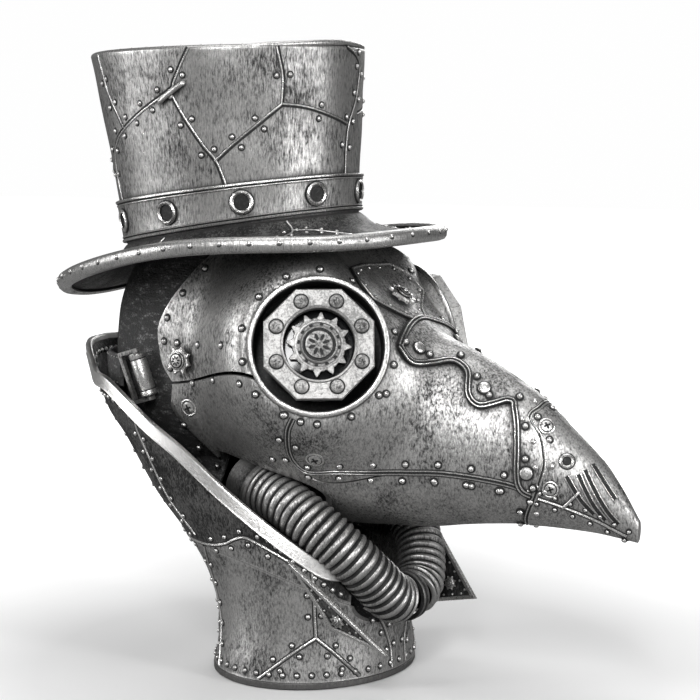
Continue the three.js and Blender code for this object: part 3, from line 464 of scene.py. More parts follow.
def piece(name, made_of, body, finishes, stands_for=(), slot="silver", crease=38):
    """made_of is points and faces, and then each face's finish number if it has more than one."""
    points, faces, *parts = made_of
    mesh = bpy.data.meshes.new(name)
    mesh.from_pydata(to_frame(points).tolist(), [], faces)
    for finish in finishes:
        mesh.materials.append(finish)
    if parts:
        mesh.polygons.foreach_set("material_index", np.asarray(parts[0], np.int32))
    shape = bmesh.new()
    shape.from_mesh(mesh)
    bmesh.ops.remove_doubles(shape, verts=shape.verts, dist=1e-6)
    bmesh.ops.recalc_face_normals(shape, faces=shape.faces)
    shape.to_mesh(mesh)
    shape.free()
    mesh.shade_smooth()
    mesh.set_sharp_from_angle(angle=math.radians(crease))
    made = bpy.data.objects.new(name, mesh)
    bpy.context.scene.collection.objects.link(made)
    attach(made, body)
    if stands_for:
        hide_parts(*stands_for)
    return made


def soften(made, width=0.5, angle=50):
    bevel = made.modifiers.new("soft_edges", "BEVEL")
    bevel.width, bevel.segments, bevel.limit_method = width / 1000, 2, "ANGLE"
    bevel.angle_limit = math.radians(angle)
    bevel.harden_normals = True
    return made

# %% Sheets, rings and tubes
def sheet_body(outer, inner):
    """A closed sheet from the grids of its two faces."""
    rows, columns = outer.shape[:2]
    count = rows * columns
    faces = quads(rows, columns) + quads(rows, columns, start=count)
    ring = [(i, 0) for i in range(rows)] + [(rows - 1, j) for j in range(1, columns)]
    ring += [(i, columns - 1) for i in range(rows - 2, -1, -1)] + [(0, j) for j in range(columns - 2, 0, -1)]
    flat = [i * columns + j for i, j in ring]
    faces += [[a, b, b + count, a + count] for a, b in zip(flat, flat[1:] + flat[:1])]
    return np.vstack([outer.reshape(-1, 3), inner.reshape(-1, 3)]), faces


def sheet(name, at, across, along, body, finishes, **more):
    """at(u, v, side) is a point of the sheet: side 0 is its outer face, 1 its inner one."""
    u, v = np.meshgrid(np.linspace(0, 1, across + 1), np.linspace(0, 1, along + 1), indexing="ij")
    return piece(name, sheet_body(at(u, v, 0), at(u, v, 1)), body, finishes, **more)


def ring_body(rings, loop=True):
    """A closed body from a stack of rings. With loop the last ring meets the first."""
    rings = np.asarray(rings, float)
    rows, columns = rings.shape[:2]
    points, faces = rings.reshape(-1, 3), quads(rows, columns, ring=True)
    if loop:
        j = np.arange(columns)
        k, last = (j + 1) % columns, (rows - 1) * columns
        faces += np.stack([last + j, last + k, k, j], -1).tolist()
    else:
        points = np.vstack([points, rings[0].mean(0), rings[-1].mean(0)])
        for row, tip in ((0, len(points) - 2), (rows - 1, len(points) - 1)):
            faces += [[row * columns + j, row * columns + (j + 1) % columns, tip] for j in range(columns)]
    return points, faces


def frames_along(line):
    """A side and an up direction at each point of a line, turning as little as they can."""
    ahead = unit(np.gradient(line, axis=0))
    side = unit(np.cross(ahead[0], (0.31, 0.17, 0.93)))
    sides = []
    for direction in ahead:
        side = unit(side - direction * np.dot(side, direction))
        sides.append(side)
    sides = np.array(sides)
    return sides, np.cross(ahead, sides)


def tube_rings(line, radius, sides=12):
    side, up = frames_along(line)
    turn = np.linspace(0, 2 * np.pi, sides, endpoint=False)
    radius = np.broadcast_to(np.asarray(radius, float), len(line))[:, None, None]
    return line[:, None] + radius * (
        side[:, None] * np.cos(turn)[None, :, None] + up[:, None] * np.sin(turn)[None, :, None]
    )


def merge(bodies):
    """Several (points, faces, parts) as one."""
    points, faces, parts, start = [], [], [], 0
    for p, f, m in bodies:
        points.append(p)
        faces += [[i + start for i in face] for face in f]
        parts += list(m)
        start += len(p)
    return np.vstack(points), faces, parts

# %% Turned parts and stamps
def turned(profile, segments=24):
    """A closed turned body from (radius, height, part) rows; a radius of 0 is a pole."""
    turn = np.linspace(0, 2 * np.pi, segments, endpoint=False)
    points, faces, parts, rows = [], [], [], []
    for radius, height, _ in profile:
        if radius == 0:
            rows.append([len(points)] * segments)
            points.append((0, 0, height))
        else:
            rows.append(list(range(len(points), len(points) + segments)))
            points += [(radius * math.cos(t), radius * math.sin(t), height) for t in turn]
    closed = not (profile[0][0] == 0 and profile[-1][0] == 0)
    pairs = list(zip(range(len(rows)), list(range(1, len(rows))) + ([0] if closed else [])))
    for a, b in pairs:
        for i in range(segments):
            j = (i + 1) % segments
            face = list(dict.fromkeys([rows[a][i], rows[a][j], rows[b][j], rows[b][i]]))
            if len(face) > 2:
                faces.append(face)
                parts.append(profile[a][2])
    return np.array(points, float), faces, parts


def dome(radius):
    r = radius
    return turned(
        [
            (0, -0.8, 1), (r * 1.5, -0.8, 1), (r * 1.5, 0.12, 1), (r, 0.14, 0), (r * 0.97, r * 0.38, 0),
            (r * 0.78, r * 0.72, 0), (r * 0.42, r * 0.93, 0), (0, r, 0)
        ], 12
    )


def basis(normals, guide=(0, 0, 1)):
    normals = unit(normals)
    guide = np.broadcast_to(np.asarray(guide, float), normals.shape)
    across = unit(np.cross(guide, normals))
    return across, np.cross(normals, across), normals


def stamped(template, places, normals, guide=(0, 0, 1)):
    """Copies of a small body, each standing square on its place."""
    points, faces, parts = template
    places, normals = np.atleast_2d(places), np.atleast_2d(normals)
    across, up, out = basis(normals, guide)
    copies = places[:, None] + points[None, :, :1] * across[:, None] + points[
        None, :, 1:2
    ] * up[:, None] + points[None, :, 2:] * out[:, None]
    count = len(points)
    all_faces = [[i + k * count for i in face] for k in range(len(places)) for face in faces]
    return copies.reshape(-1, 3), all_faces, list(parts) * len(places)


def carve(made, *cutters):
    """Cuts closed bodies out of a piece, and keeps the result as its mesh."""
    for points, faces in cutters:
        mesh = bpy.data.meshes.new("cutter")
        mesh.from_pydata(to_frame(points).tolist(), [], faces)
        shape = bmesh.new()
        shape.from_mesh(mesh)
        bmesh.ops.recalc_face_normals(shape, faces=shape.faces)
        shape.to_mesh(mesh)
        shape.free()
        tool = bpy.data.objects.new("cutter", mesh)
        bpy.context.scene.collection.objects.link(tool)
        cut = made.modifiers.new("cut", "BOOLEAN")
        cut.object, cut.operation, cut.solver = tool, "DIFFERENCE", "MANIFOLD"
        bpy.context.view_layer.update()
        result = bpy.data.meshes.new_from_object(made.evaluated_get(bpy.context.evaluated_depsgraph_get()))
        made.modifiers.remove(cut)
        made.data = result
        bpy.data.objects.remove(tool)
    made.data.set_sharp_from_angle(angle=math.radians(38))
    return made


def rod(radius, low, high, place, direction, segments=64):
    turn = np.linspace(0, 2 * np.pi, segments, endpoint=False)
    ring = np.stack([radius * np.cos(turn), radius * np.sin(turn), np.zeros(segments)], -1)
    across, up, out = basis(np.array([direction]))
    stack = [ring + [0, 0, z] for z in np.linspace(low, high, 4)]
    stack = [s[:, :1] * across + s[:, 1:2] * up + s[:, 2:] * out + np.asarray(place) for s in stack]
    return ring_body(stack, loop=False)

# %% [markdown]
# A seam between two plates is a raised bead with a groove beside it that holds the black wash,
# and a row of rivets on each side. A seam is drawn as a few corners on a skin, and its section is
# swept along the smooth line through them. Each face of the section knows if it is metal or wash.

# %% Seams and rows of rivets
# Across the seam, height above the skin, and 0 for metal or 1 for wash.
DOUBLE_BEAD = [
    (-2.7, 0.1, 1), (-1.9, 0.15, 0), (-1.6, 0.75, 0), (-1.1, 0.8, 0), (-0.7, 0.12, 1), (0.7, 0.12, 0),
    (1.1, 0.8, 0), (1.6, 0.75, 0), (1.9, 0.15, 1), (2.7, 0.1, 1), (2.7, -1.2, 1), (-2.7, -1.2, 1)
]
SPLIT_SEAM = [
    (-1.5, 0.1, 1), (0.2, 0.14, 0), (0.5, 0.7, 0), (1.0, 0.75, 0), (1.6, 0.2, 1), (2.0, 0.1, 1),
    (2.0, -1.2, 1), (-1.5, -1.2, 1)
]
SINGLE_BEAD = [
    (-1.9, 0.1, 1), (-1.1, 0.15, 0), (-0.8, 0.8, 0), (0, 1.15, 0), (0.8, 0.8, 0), (1.1, 0.15, 1),
    (1.9, 0.1, 1), (1.9, -1.2, 1), (-1.9, -1.2, 1)
]


def on_skin(surface, corners, step=2.5, lift=0.0, curved=True):
    """Evenly spaced places along a line drawn on a skin, with the outward and sideways directions."""
    line = through(corners) if curved and len(corners) > 2 else np.array(corners, float)
    if not curved or len(corners) < 3:
        line = np.vstack(
            [lerp(a, b, np.linspace(0, 1, 16, endpoint=False)[:, None]) for a, b in zip(line, line[1:])]
            + [line[-1:]]
        )
    both = even(np.hstack([surface(line[:, 0], line[:, 1]), line]), step)
    place, out = square_to(surface, both[:, 3], both[:, 4])
    ahead = unit(np.gradient(place, axis=0))
    return place + out * lift, out, unit(np.cross(out, ahead))


def swept(lines, section):
    bodies = []
    flat = np.array(section, float)
    for place, out, side in lines:
        rings = place[:, None] + side[:, None] * flat[None, :, :1] + out[:, None] * flat[None, :, 1:2]
        points, faces = ring_body(rings, loop=False)
        parts = [int(section[j][2]) for _ in range(len(place) - 1) for j in range(len(section))]
        bodies.append((points, faces, parts + [1] * (len(faces) - len(parts))))
    return merge(bodies)


def beside(line, offset, step, ends=True):
    """Places in a row beside a line from on_skin, and the directions they stand in."""
    place, out, side = line
    row = even(np.hstack([place + side * offset, out]), step)
    row = row if ends else row[1:-1]
    return row[:, :3], unit(row[:, 3:])


def rows_of(template, *rows):
    return stamped(template, np.vstack([r[0] for r in rows]), np.vstack([r[1] for r in rows]))


def mirrored(lines):
    """For skins whose second number is the side."""
    return [[(a, -b) for a, b in line] for line in lines]


def other_side(lines):
    """For skins whose first number is an angle."""
    return [[(-a, b) for a, b in line] for line in lines]


print("tools ready; a rivet has", len(dome(2)[1]), "faces")

# %% [markdown]
# The mask is two plates, upper and lower, that meet on a seam along the cheek. They are the skin
# formula with a wall, so their outline is the only thing to set: where each starts at the rear,
# and where it stops at the beak's cap. Round holes for the eyepieces and the hoses are then cut,
# which leaves clean edges that the sockets sit in.

# %% The outlines of the mask plates
seam_level = curve_through(
    [
        [-130, 232], [-27, 232], [-5, 168], [beak_at(0.15), 172], [beak_at(0.43), 171],
        [beak_at(0.68), 163], [beak_at(1), 138]
    ]
)
upper_rear = curve_through([[0, -64], [0.4, -76], [0.62, -104], [0.82, -131], [0.92, -129], [1, -118]])
lower_rear = curve_through([[0, -24], [0.3, -52], [0.6, -92], [0.85, -120], [1, -118]])
CAP_START, CAP_GAP, PLATE_WALL = 173, 2, 2.6
cap_wave = curve_through(
    [
        [0, 1], [0.11, 2], [0.22, 6], [0.26, -3], [0.32, -7], [0.39, -9], [0.48, -6], [0.57, -3],
        [0.79, 7], [1, 12]
    ]
)


def cap_rear(q):
    return CAP_START - cap_wave(np.abs(q))[..., 0]


def seam_share(x):
    section = head_section(np.maximum(x, HEAD_MIDDLE))
    level, bottom, square = section[..., 1], section[..., 2], section[..., 4]
    height = (seam_level(x)[..., 0] - level) / (level - bottom)
    below = 1 - np.arccos(np.clip(np.abs(height) ** (square / 2), 0, 1)) / np.pi
    return np.where(height > 0, 0.5, below)


CAP_SHARE = float(seam_share(np.array(float(CAP_START))))


def upper_plate(u, v, side):
    q = lerp(-1, 1, v)
    x = lerp(upper_rear(np.abs(q))[..., 0], cap_rear(q * CAP_SHARE) - CAP_GAP, u)
    return mask_skin(x, q * (seam_share(x) - 0.003), -side * PLATE_WALL)


def lower_plate(u, v, side):
    q = lerp(-1, 1, v)
    end = cap_rear(lerp(1, CAP_SHARE, np.abs(q))) - CAP_GAP
    x = lerp(lower_rear(np.abs(q))[..., 0], end, u)
    around = lerp(1, seam_share(x) + 0.003, np.abs(q))
    return mask_skin(x, np.where(q < 0, -around, around), -side * PLATE_WALL)


print("the cheek seam reaches the cap at share", round(CAP_SHARE, 3))

# %% The two mask plates
HOSE_RADIUS, HOSE_WALL = 20, 3.5
hose_line = np.array(
    [
        (-44, 59, 150), (-20, 64, 142), (3, 65, 129), (22, 60, 114), (37, 50, 97), (46, 36, 80),
        (50, 25, 69), (51, 13, 64)
    ], float
)


def hose_middle(sign, step=1.1):
    return even(through(hose_line * [1, sign, 1], 24), step)


# Height, middle, half length and half width of the neck's ovals.
NECK_OVALS = [
    [5.3, -33, 71, 82], [40, -36, 68, 70], [80, -56, 60, 58], [120, -76, 58, 53], [150, -86, 58, 52],
    [186, -86, 58, 52]
]


def neck_cutter():
    rings = []
    for z, middle, length, width in (*NECK_OVALS[2:5], [230, *NECK_OVALS[4][1:]]):
        turn = np.linspace(0, 2 * np.pi, 72, endpoint=False)
        rings.append(
            np.stack(
                [middle + (length + 0.3) * np.cos(turn), (width + 0.3) * np.sin(turn), np.full(72, z)], -1
            )
        )
    return ring_body(rings, loop=False)


def hose_cutter(sign):
    middle = hose_middle(sign)
    return rod(HOSE_RADIUS + 1.8, -46, 70, middle[0], middle[1] - middle[0])


eye_cutters = [rod(SOCKET_RADIUS + 0.3, -120, 30, *eye_frame(sign), 96) for sign in (-1, 1)]
hose_cutters = [hose_cutter(sign) for sign in (-1, 1)]
mask_upper = sheet("mask_upper_plate", upper_plate, 150, 120, HEAD, [SILVER], stands_for=["mask_upper"])
carve(mask_upper, *eye_cutters)
soften(mask_upper)
mask_lower = sheet("mask_lower_plate", lower_plate, 130, 110, HEAD, [SILVER], stands_for=["mask_lower"])
carve(mask_lower, *eye_cutters, *hose_cutters, neck_cutter())
soften(mask_lower)
print("mask plates:", len(mask_upper.data.polygons), "and", len(mask_lower.data.polygons), "faces")

# %% [markdown]
# The bridge plate lies over the top of the beak, with a wavy edge and a tongue that runs down
# beside the cap. The brow plate is a small kite between the eyepieces. Both are the mask's skin,
# lifted, so they hug it all the way.

# %% The bridge and brow plates
bridge_rows = [
    [64, 0.21], [76, 0.23], [91, 0.185], [104, 0.142], [116, 0.163], [121, 0.25], [130, 0.273],
    [141, 0.235], [150, 0.19], [155.5, 0.2], [157, 0.3], [158, 0.43], [159.5, 0.5], [162.5, 0.545],
    [168, 0.56]
]
bridge_edge = curve_through([[i / 14, *row] for i, row in enumerate(bridge_rows)])
BRIDGE_LIFT, BRIDGE_WALL, BROW_LIFT = 2, 2.2, 2


def bridge_place(u, across):
    edge = bridge_edge(u)
    q = across * edge[..., 1]
    return edge[..., 0] + smooth((edge[..., 0] - 150) / 18) * (cap_rear(q) - CAP_GAP - 168), q


def bridge_plate(u, v, side):
    return mask_skin(*bridge_place(u, lerp(-1, 1, v)), BRIDGE_LIFT - 1.6 + (1 - side) * (BRIDGE_WALL - 0.6))


brow_half = curve_through([[14, 0.08], [36, 0.125], [63, 0.05]])


def brow_plate(u, v, side):
    x = lerp(14, 63, u)
    return mask_skin(x, lerp(-1, 1, v) * brow_half(x)[..., 0], BROW_LIFT - 1.6 + (1 - side) * BRIDGE_WALL)


soften(sheet("bridge_plate_skin", bridge_plate, 120, 60, HEAD, [SILVER], stands_for=["bridge_plate"]))
soften(sheet("brow_plate_skin", brow_plate, 40, 30, HEAD, [SILVER], stands_for=["brow_plate"]))
print("bridge and brow plates lie on the mask")

# %% [markdown]
# The beak ends in a cast cap. It is a stack of oval rings that shrinks to the tip, and its rear
# edge waves, so each ring's places slide with the share round the section.

# %% The beak's cap
def cap_ring(end, t, lift, count=96):
    q = (2 * (np.arange(count) + 0.5)) / count - 1
    return head_skin(lerp(cap_rear(q), end, t), q, lift)


cap_outer = [cap_ring(247, math.sin(t * math.pi / 2), 1.2) for t in np.linspace(0, 1, 48)]
cap_nose = [
    lerp(
        cap_outer[-1].mean(0) + [1.6 * k, 0, 0.4 * k], cap_outer[-1] + [1.6 * k, 0, 0.4 * k],
        math.sqrt(1 - k * k)
    )
    for k in (0.5, 0.8, 0.97)
]
cap_inner = [cap_ring(233, t, -3.2) for t in np.linspace(1, 0, 16)]
soften(
    piece(
        "beak_cap", ring_body([*cap_inner, *cap_outer, *cap_nose], loop=False), HEAD, [SILVER],
        stands_for=["beak_tip"]
    )
)


def cap_skin(x, q, lift=0.0):
    return head_skin(x, q, lift + 1.2)


print("the cap reaches", np.round(to_frame(cap_outer[-1].mean(0)), 3))

# %% [markdown]
# Now the seams of the mask. Each is drawn once for the right side and mirrored. The bead along
# the cheek divides the upper plate from the jaw; the wavy beads follow the bridge plate and the
# rear edge of the cap.

# %% The seams of the mask
def on_bridge(a, b, lift=0.0):
    return mask_skin(a, b, lift + BRIDGE_LIFT + 0.9)


cheek = [
    (-9, -0.535), (-14, -0.573), (-14, -0.62), (-8, -0.645), (2, -0.648), (22, -0.617), (44, -0.588),
    (75, -0.548), (102, -0.522), (131, -0.515), (158, -0.522), (174, -0.555)
]
cap_line = [(cap_rear(np.array(q)) - 0.8, q) for q in np.linspace(-0.9, 0.9, 61)]
bridge_line = [(float(x), -float(q)) for x, q in zip(*bridge_place(np.linspace(0, 0.985, 40), 1.0))]
bridge_front = [(64.5, q) for q in np.linspace(-0.21, 0.21, 9)]
brow_line = [(14, 0), (14, -0.08), (24, -0.108), (36, -0.125), (50, -0.09), (63, -0.05), (63, 0)]
tip_seam = [(178, -0.575), (196, -0.6), (222, -0.66), (240, -0.75)]
cheek_seams = [on_skin(mask_skin, line) for line in (cheek, *mirrored([cheek]))]
bridge_seams = [on_skin(on_bridge, line, 2) for line in (bridge_line, *mirrored([bridge_line]), bridge_front)]
cap_seam = on_skin(mask_skin, cap_line, 2, lift=0.8, curved=False)
tip_seams = [on_skin(cap_skin, line, 2) for line in (tip_seam, *mirrored([tip_seam]))]
brow_seams = [
    on_skin(lambda a, b, lift=0.0: mask_skin(a, b, lift + 2.4), line, 1.5, curved=False)
    for line in (brow_line, *mirrored([brow_line]))
]
piece(
    "mask_seams", swept(cheek_seams + bridge_seams + [cap_seam], DOUBLE_BEAD), HEAD, [BRIGHT, WASH],
    slot="bright_silver"
)
piece(
    "mask_fine_seams", swept(tip_seams + brow_seams, SINGLE_BEAD), HEAD, [BRIGHT, WASH],
    slot="bright_silver"
)
print("seams drawn:", len(cheek_seams + bridge_seams + tip_seams + brow_seams) + 1)

# %% [markdown]
# Rivets hold each plate down. They run beside the seams and round each eyepiece, mostly 13 to
# 26 mm apart. Each is a domed head with a ring of black wash at its foot. They are stamped square on
# the skin, and joined in one piece, which keeps the object light.

# %% The rivets of the mask
def ring_round_eye(sign, radius, count, phase=0.0):
    """Places on the mask in a ring round an eyepiece: each is found by walking down the skin."""
    origin, axis = eye_frame(sign)
    across, up, out = (v[0] for v in basis(np.array([axis])))
    x, q = np.meshgrid(np.linspace(-60, 110, 171), sign * np.linspace(0.03, 0.75, 181), indexing="ij")
    skin = mask_skin(x, q)
    offset = skin - origin
    a, b = offset @ across, offset @ up
    found = []
    for turn in np.linspace(0, 2 * np.pi, count, endpoint=False) + phase:
        miss = (
            a - radius * math.cos(turn)
        ) ** 2 + (b - radius * math.sin(turn)) ** 2 + np.where(offset @ axis < -75, 1e6, 0)
        i = np.unravel_index(np.argmin(miss), miss.shape)
        if miss[i] < 9:
            found.append((x[i], q[i]))
    return np.array(found)


def standing_on(surface, places):
    places = np.array(places, float)
    return square_to(surface, places[:, 0], places[:, 1])


upper_edge = [
    (float(upper_rear(np.array(t))[0]) + 6.5, -t * float(seam_share(np.array(-110.0))))
    for t in (0.3, 0.45, 0.58, 0.7, 0.8, 0.88, 0.95)
]
upper_edge += [(-112, -0.485), (-92, -0.485), (-70, -0.485)]
lower_edge = [
    (-98, -0.545), (-78, -0.535), (-54, -0.53), (-112, -0.66), (-104, -0.73), (-93, -0.79), (-80, -0.84)
]
extra = [(34, -0.36), (60, -0.36), (-30, -0.66), (-28, -0.74), (100, -0.57), (128, -0.565), (150, -0.57)]
mask_rows = [
    standing_on(mask_skin, upper_edge + lower_edge + extra),
    standing_on(mask_skin, mirrored([upper_edge + lower_edge + extra])[0])
]
for line in cheek_seams:
    mask_rows += [beside(line, 6.5, 26), beside(line, -6.5, 26)]
for line in bridge_seams[:2]:
    mask_rows += [beside(line, 6.5 if line is bridge_seams[0] else -6.5, 24)]
for sign in (-1, 1):
    mask_rows.append(standing_on(mask_skin, ring_round_eye(sign, 59, 14, 0.2)))
mask_rows += [beside(cap_seam, 6.0, 20), beside(cap_seam, -6.0, 20)]
small_rows = []
for line in tip_seams:
    small_rows += [beside(line, 4.5, 13), beside(line, -4.5, 13)]
for line in brow_seams:
    small_rows += [beside(line, 4.0 if line is brow_seams[0] else -4.0, 15)]
piece(
    "mask_rivets", merge([rows_of(dome(2.2), *mask_rows), rows_of(dome(1.5), *small_rows)]), HEAD,
    [BRIGHT, WASH], slot="bright_silver"
)
print("mask rivets:", sum(len(r[0]) for r in mask_rows + small_rows))

# %% [markdown]
# Large flat rivets, cross-head screws in countersunk washers, an eyelet and cast slots finish the
# beak. A cross-head screw is a disc with a cross sunk in it; here the cross is a raised rim and
# a black floor, because that is what the eye reads at this size.

# %% Bolts, screws, eyelets and slots
def flat_rivet(r):
    return turned(
        [
            (0, -0.6, 1), (r * 1.22, -0.6, 1), (r * 1.22, 0.2, 1), (r * 1.02, 0.25, 0), (r, 1.2, 0),
            (r * 0.84, 1.75, 0), (r * 0.4, 2.0, 0), (0, 2.0, 0)
        ], 28
    )


def cross_screw(r):
    washer = turned(
        [
            (0, -1.6, 1), (r * 1.5, -1.6, 0), (r * 1.5, 0.6, 0), (r * 1.3, 0.9, 0), (r * 1.16, 0.6, 1),
            (r * 1.1, 0.3, 0), (r, 1.0, 0), (r * 0.6, 1.55, 0), (0, 1.7, 0)
        ], 28
    )
    bars = []
    for turn in (0.35, 0.35 + math.pi / 2):
        c, s = math.cos(turn), math.sin(turn)
        outline = [(-0.62, -0.14), (0.62, -0.14), (0.62, 0.14), (-0.62, 0.14)]
        rings = np.array(
            [[(r * (a * c - b * s), r * (a * s + b * c), z) for a, b in outline] for z in (1.0, 1.95)]
        )
        points, faces = ring_body(rings, loop=False)
        bars.append((points, faces, [1] * len(faces)))
    return merge([washer, *bars])


def eyelet(outer, hole, height):
    ring = turned(
        [
            (hole, -1, 1), (outer + 0.8, -1, 1), (outer + 0.8, 0.1, 1), (outer, 0.15, 0),
            (outer, height * 0.55, 0), ((outer + hole) / 2, height, 0), (hole, height * 0.55, 1)
        ], 36
    )
    disc = turned([(0, -0.9, 1), (hole + 0.2, -0.9, 1), (hole + 0.2, 0.25, 1), (0, 0.3, 1)], 36)
    return merge([ring, disc])


def slot_bar(start, end, surface):
    return swept(
        [on_skin(surface, [start, end], 1.5, curved=False)],
        [
            (-2.2, 0.1, 0), (-2.0, 0.8, 0), (-1.5, 0.85, 0), (-1.3, 0.3, 1), (1.3, 0.3, 0),
            (1.5, 0.85, 0), (2.0, 0.8, 0), (2.2, 0.1, 0), (2.2, -1, 1), (-2.2, -1, 1)
        ]
    )


slots = [
    ((198, -0.39), (218, -0.58)), ((206, -0.34), (226, -0.6)), ((210, -0.28), (235, -0.58)),
    ((214, -0.18), (232, -0.3))
]
big = [(77, -0.17), (131, -0.2), (170, -0.45)]
bolts = [stamped(flat_rivet(4.6), *standing_on(on_bridge, big + mirrored([big])[0]))]
for sign in (-1, 1):
    tip = [(CAP_START + 6, sign * 0.19), (CAP_START + 14, sign * 0.49)]
    bolts.append(stamped(cross_screw(4.2), *standing_on(cap_skin, tip)))
    bolts.append(stamped(eyelet(5.6, 3.5, 2.0), *standing_on(cap_skin, [(CAP_START + 24, sign * 0.303)])))
    bolts.append(stamped(cross_screw(4.9), *standing_on(mask_skin, [(-104, sign * 0.605), (8, sign * 0.6)])))
    bolts += [slot_bar((a[0], -sign * a[1]), (b[0], -sign * b[1]), cap_skin) for a, b in slots]
fittings = [
    f"{kind}_{word}"
    for word in SIDES
    for kind in ("tip_screw_upper", "tip_screw_lower", "tip_eyelet", "cheek_screw", "jaw_screw")
]
piece("beak_fittings", merge(bolts), HEAD, [BRIGHT, WASH], stands_for=fittings, slot="bright_silver")
staples = []
for sign in (-1, 1):
    ends = standing_on(cap_skin, [(207, sign * 0.455), (196, sign * 0.6)])[0]
    out = square_to(cap_skin, 201.0, sign * 0.53)[1]
    arch = through(
        [
            ends[0] - out * 1.5, ends[0] + out * 1.2, lerp(*ends, 0.5) + out * 2.0, ends[1] + out * 1.2,
            ends[1] - out * 1.5
        ]
    )
    points, faces = ring_body(tube_rings(arch, 1.1, 10), loop=False)
    staples.append((points, faces, [0] * len(faces)))
piece("tip_staples", merge(staples), HEAD, [BRIGHT], slot="bright_silver")
print("fittings stand for", len(fittings), "CAD nodes")

# %% [markdown]
# Each eyepiece is a turned socket sunk in the cheek, a barrel in it, an octagonal flange with
# eight bolts, a dark lens, and a toothed dial that turns on an axle. All of them share one axis,
# so each is drawn flat round that axis and then set in place by one function.

# %% Setting a part on the eyepiece's axis
FLANGE_FLATS, FLANGE_THICK, FLANGE_OPEN = 83, 12, 27


def on_eye(sign, body, spin=0.0):
    points, faces, parts = body
    c, s = math.cos(spin), math.sin(spin)
    spun = np.stack(
        [points[:, 0] * c - points[:, 1] * s, points[:, 0] * s + points[:, 1] * c, points[:, 2]], -1
    )
    origin, axis = eye_frame(sign)
    return stamped((spun, faces, parts), origin, axis)


def extruded(outline, low, high, part=0, bevel=0.0):
    """A flat outline as a plate, with its upper edge pulled in by a bevel."""
    outline = np.array(outline, float)
    shrink = 1 - bevel / np.linalg.norm(outline, axis=1, keepdims=True)
    levels = [(outline, low), (outline, high - bevel), (outline * shrink, high)]
    rings = np.array([np.column_stack([o, np.full(len(o), z)]) for o, z in levels])
    points, faces = ring_body(rings, loop=False)
    return points, faces, [part] * len(faces)


def washer_plate(outline, hole, low, high, bevel=0.6):
    """A flat outline with a round hole: outer wall, face, bore and back, as one ring of quads."""
    outline = np.array(outline, float)
    turn = np.arctan2(outline[:, 1], outline[:, 0])
    bore = np.column_stack([hole * np.cos(turn), hole * np.sin(turn)])
    wide = outline * (1 - bevel / np.linalg.norm(outline, axis=1, keepdims=True))
    levels = [
        (outline, low), (outline, high - bevel), (wide, high), (bore * (1 + bevel / hole), high),
        (bore, high - bevel), (bore, low)
    ]
    rings = np.array([np.column_stack([o, np.full(len(o), z)]) for o, z in levels])
    points, faces = ring_body(rings, loop=True)
    return points, faces, [0] * len(faces)


def octagon(inradius, sides_steps=12):
    radius = inradius / math.cos(math.pi / 8)
    corners = np.array(
        [
            (radius * math.cos((i + 0.5) * math.pi / 4), radius * math.sin((i + 0.5) * math.pi / 4))
            for i in range(8)
        ]
    )
    return np.vstack(
        [
            lerp(a, b, np.linspace(0, 1, sides_steps, endpoint=False)[:, None])
            for a, b in zip(corners, np.roll(corners, -1, 0))
        ]
    )


def gear_outline(teeth, root, tip, steps=6):
    outline = []
    for i in range(teeth):
        for share, radius in (
            (0.0, root * 1.01), (0.12, root * 0.985), (0.24, root * 1.01),
            (0.34, root + 0.45 * (tip - root)), (0.46, tip), (0.54, tip),
            (0.66, root + 0.45 * (tip - root)), (0.78, root * 1.01)
        ):
            turn = (i + share + 0.1) * 2 * math.pi / teeth
            outline.append((radius * math.cos(turn), radius * math.sin(turn)))
    return outline


print("octagon corner radius, mm:", round(FLANGE_FLATS / 2 / math.cos(math.pi / 8), 1))

# %% The still parts of the eyepieces
for word, sign in SIDES.items():
    s = SOCKET_RADIUS
    socket = turned(
        [
            (40.3, -50, 1), (s, -50, 0), (s, -19, 0), (s + 1.6, -17.6, 0), (s + 2.2, -16.2, 0),
            (s + 1.6, -14.9, 0), (s, -14.2, 0), (s - 1.6, -14.6, 0), (s - 2.6, -16, 1),
            (s - 2.6, -47.4, 1), (40.3, -47.4, 1)
        ], 96
    )
    barrel = turned(
        [
            (24.6, -58, 1), (39, -58, 1), (40, -50, 0), (40, -30, 0), (41.2, -29, 0), (41.2, -25, 0),
            (40, -24, 0), (40, -12.3, 0), (27.6, -12.3, 1), (27.6, -22.3, 1), (24.6, -22.3, 1)
        ], 96
    )
    flange = washer_plate(octagon(FLANGE_FLATS / 2), FLANGE_OPEN, -FLANGE_THICK, 0, 0.8)
    edge = turned(
        [
            (FLANGE_OPEN + 0.3, -1.2, 0), (FLANGE_OPEN + 2.2, -1.2, 0), (FLANGE_OPEN + 2.2, 0.4, 0),
            (FLANGE_OPEN + 1.4, 0.9, 0), (FLANGE_OPEN + 0.3, 0.5, 1)
        ], 96
    )
    turns = (np.arange(8) + 0.5) * math.pi / 4
    ring = np.column_stack([34.6 * np.cos(turns), 34.6 * np.sin(turns), np.zeros(8)])
    bolts = stamped(flat_rivet(4.9), ring, np.tile([0.0, 0, 1], (8, 1)), guide=(0, 1, 0))
    piece(f"eye_socket_{word}_turned", on_eye(sign, socket), HEAD, [SILVER, WASH], [f"eye_socket_{word}"])
    piece(
        f"eye_barrel_{word}_turned", on_eye(sign, barrel), HEAD, [DARK_SILVER, WASH],
        [f"eye_barrel_{word}"], slot="dark_silver"
    )
    piece(
        f"eye_flange_{word}_bolted",
        merge([on_eye(sign, flange), on_eye(sign, edge), on_eye(sign, bolts)]), HEAD, [AGED_SILVER, WASH],
        [f"eye_flange_{word}"], slot="bright_silver", crease=30
    )
    lens = turned([(3.5, -22, 0), (27.2, -22, 0), (27.2, -18.4, 0), (26.8, -18, 0), (3.5, -16.4, 0)], 72)
    piece(
        f"eye_lens_{word}_glass", on_eye(sign, lens), HEAD, [LENS], stands_for=[f"eye_lens_{word}"],
        slot="lens_glass"
    )
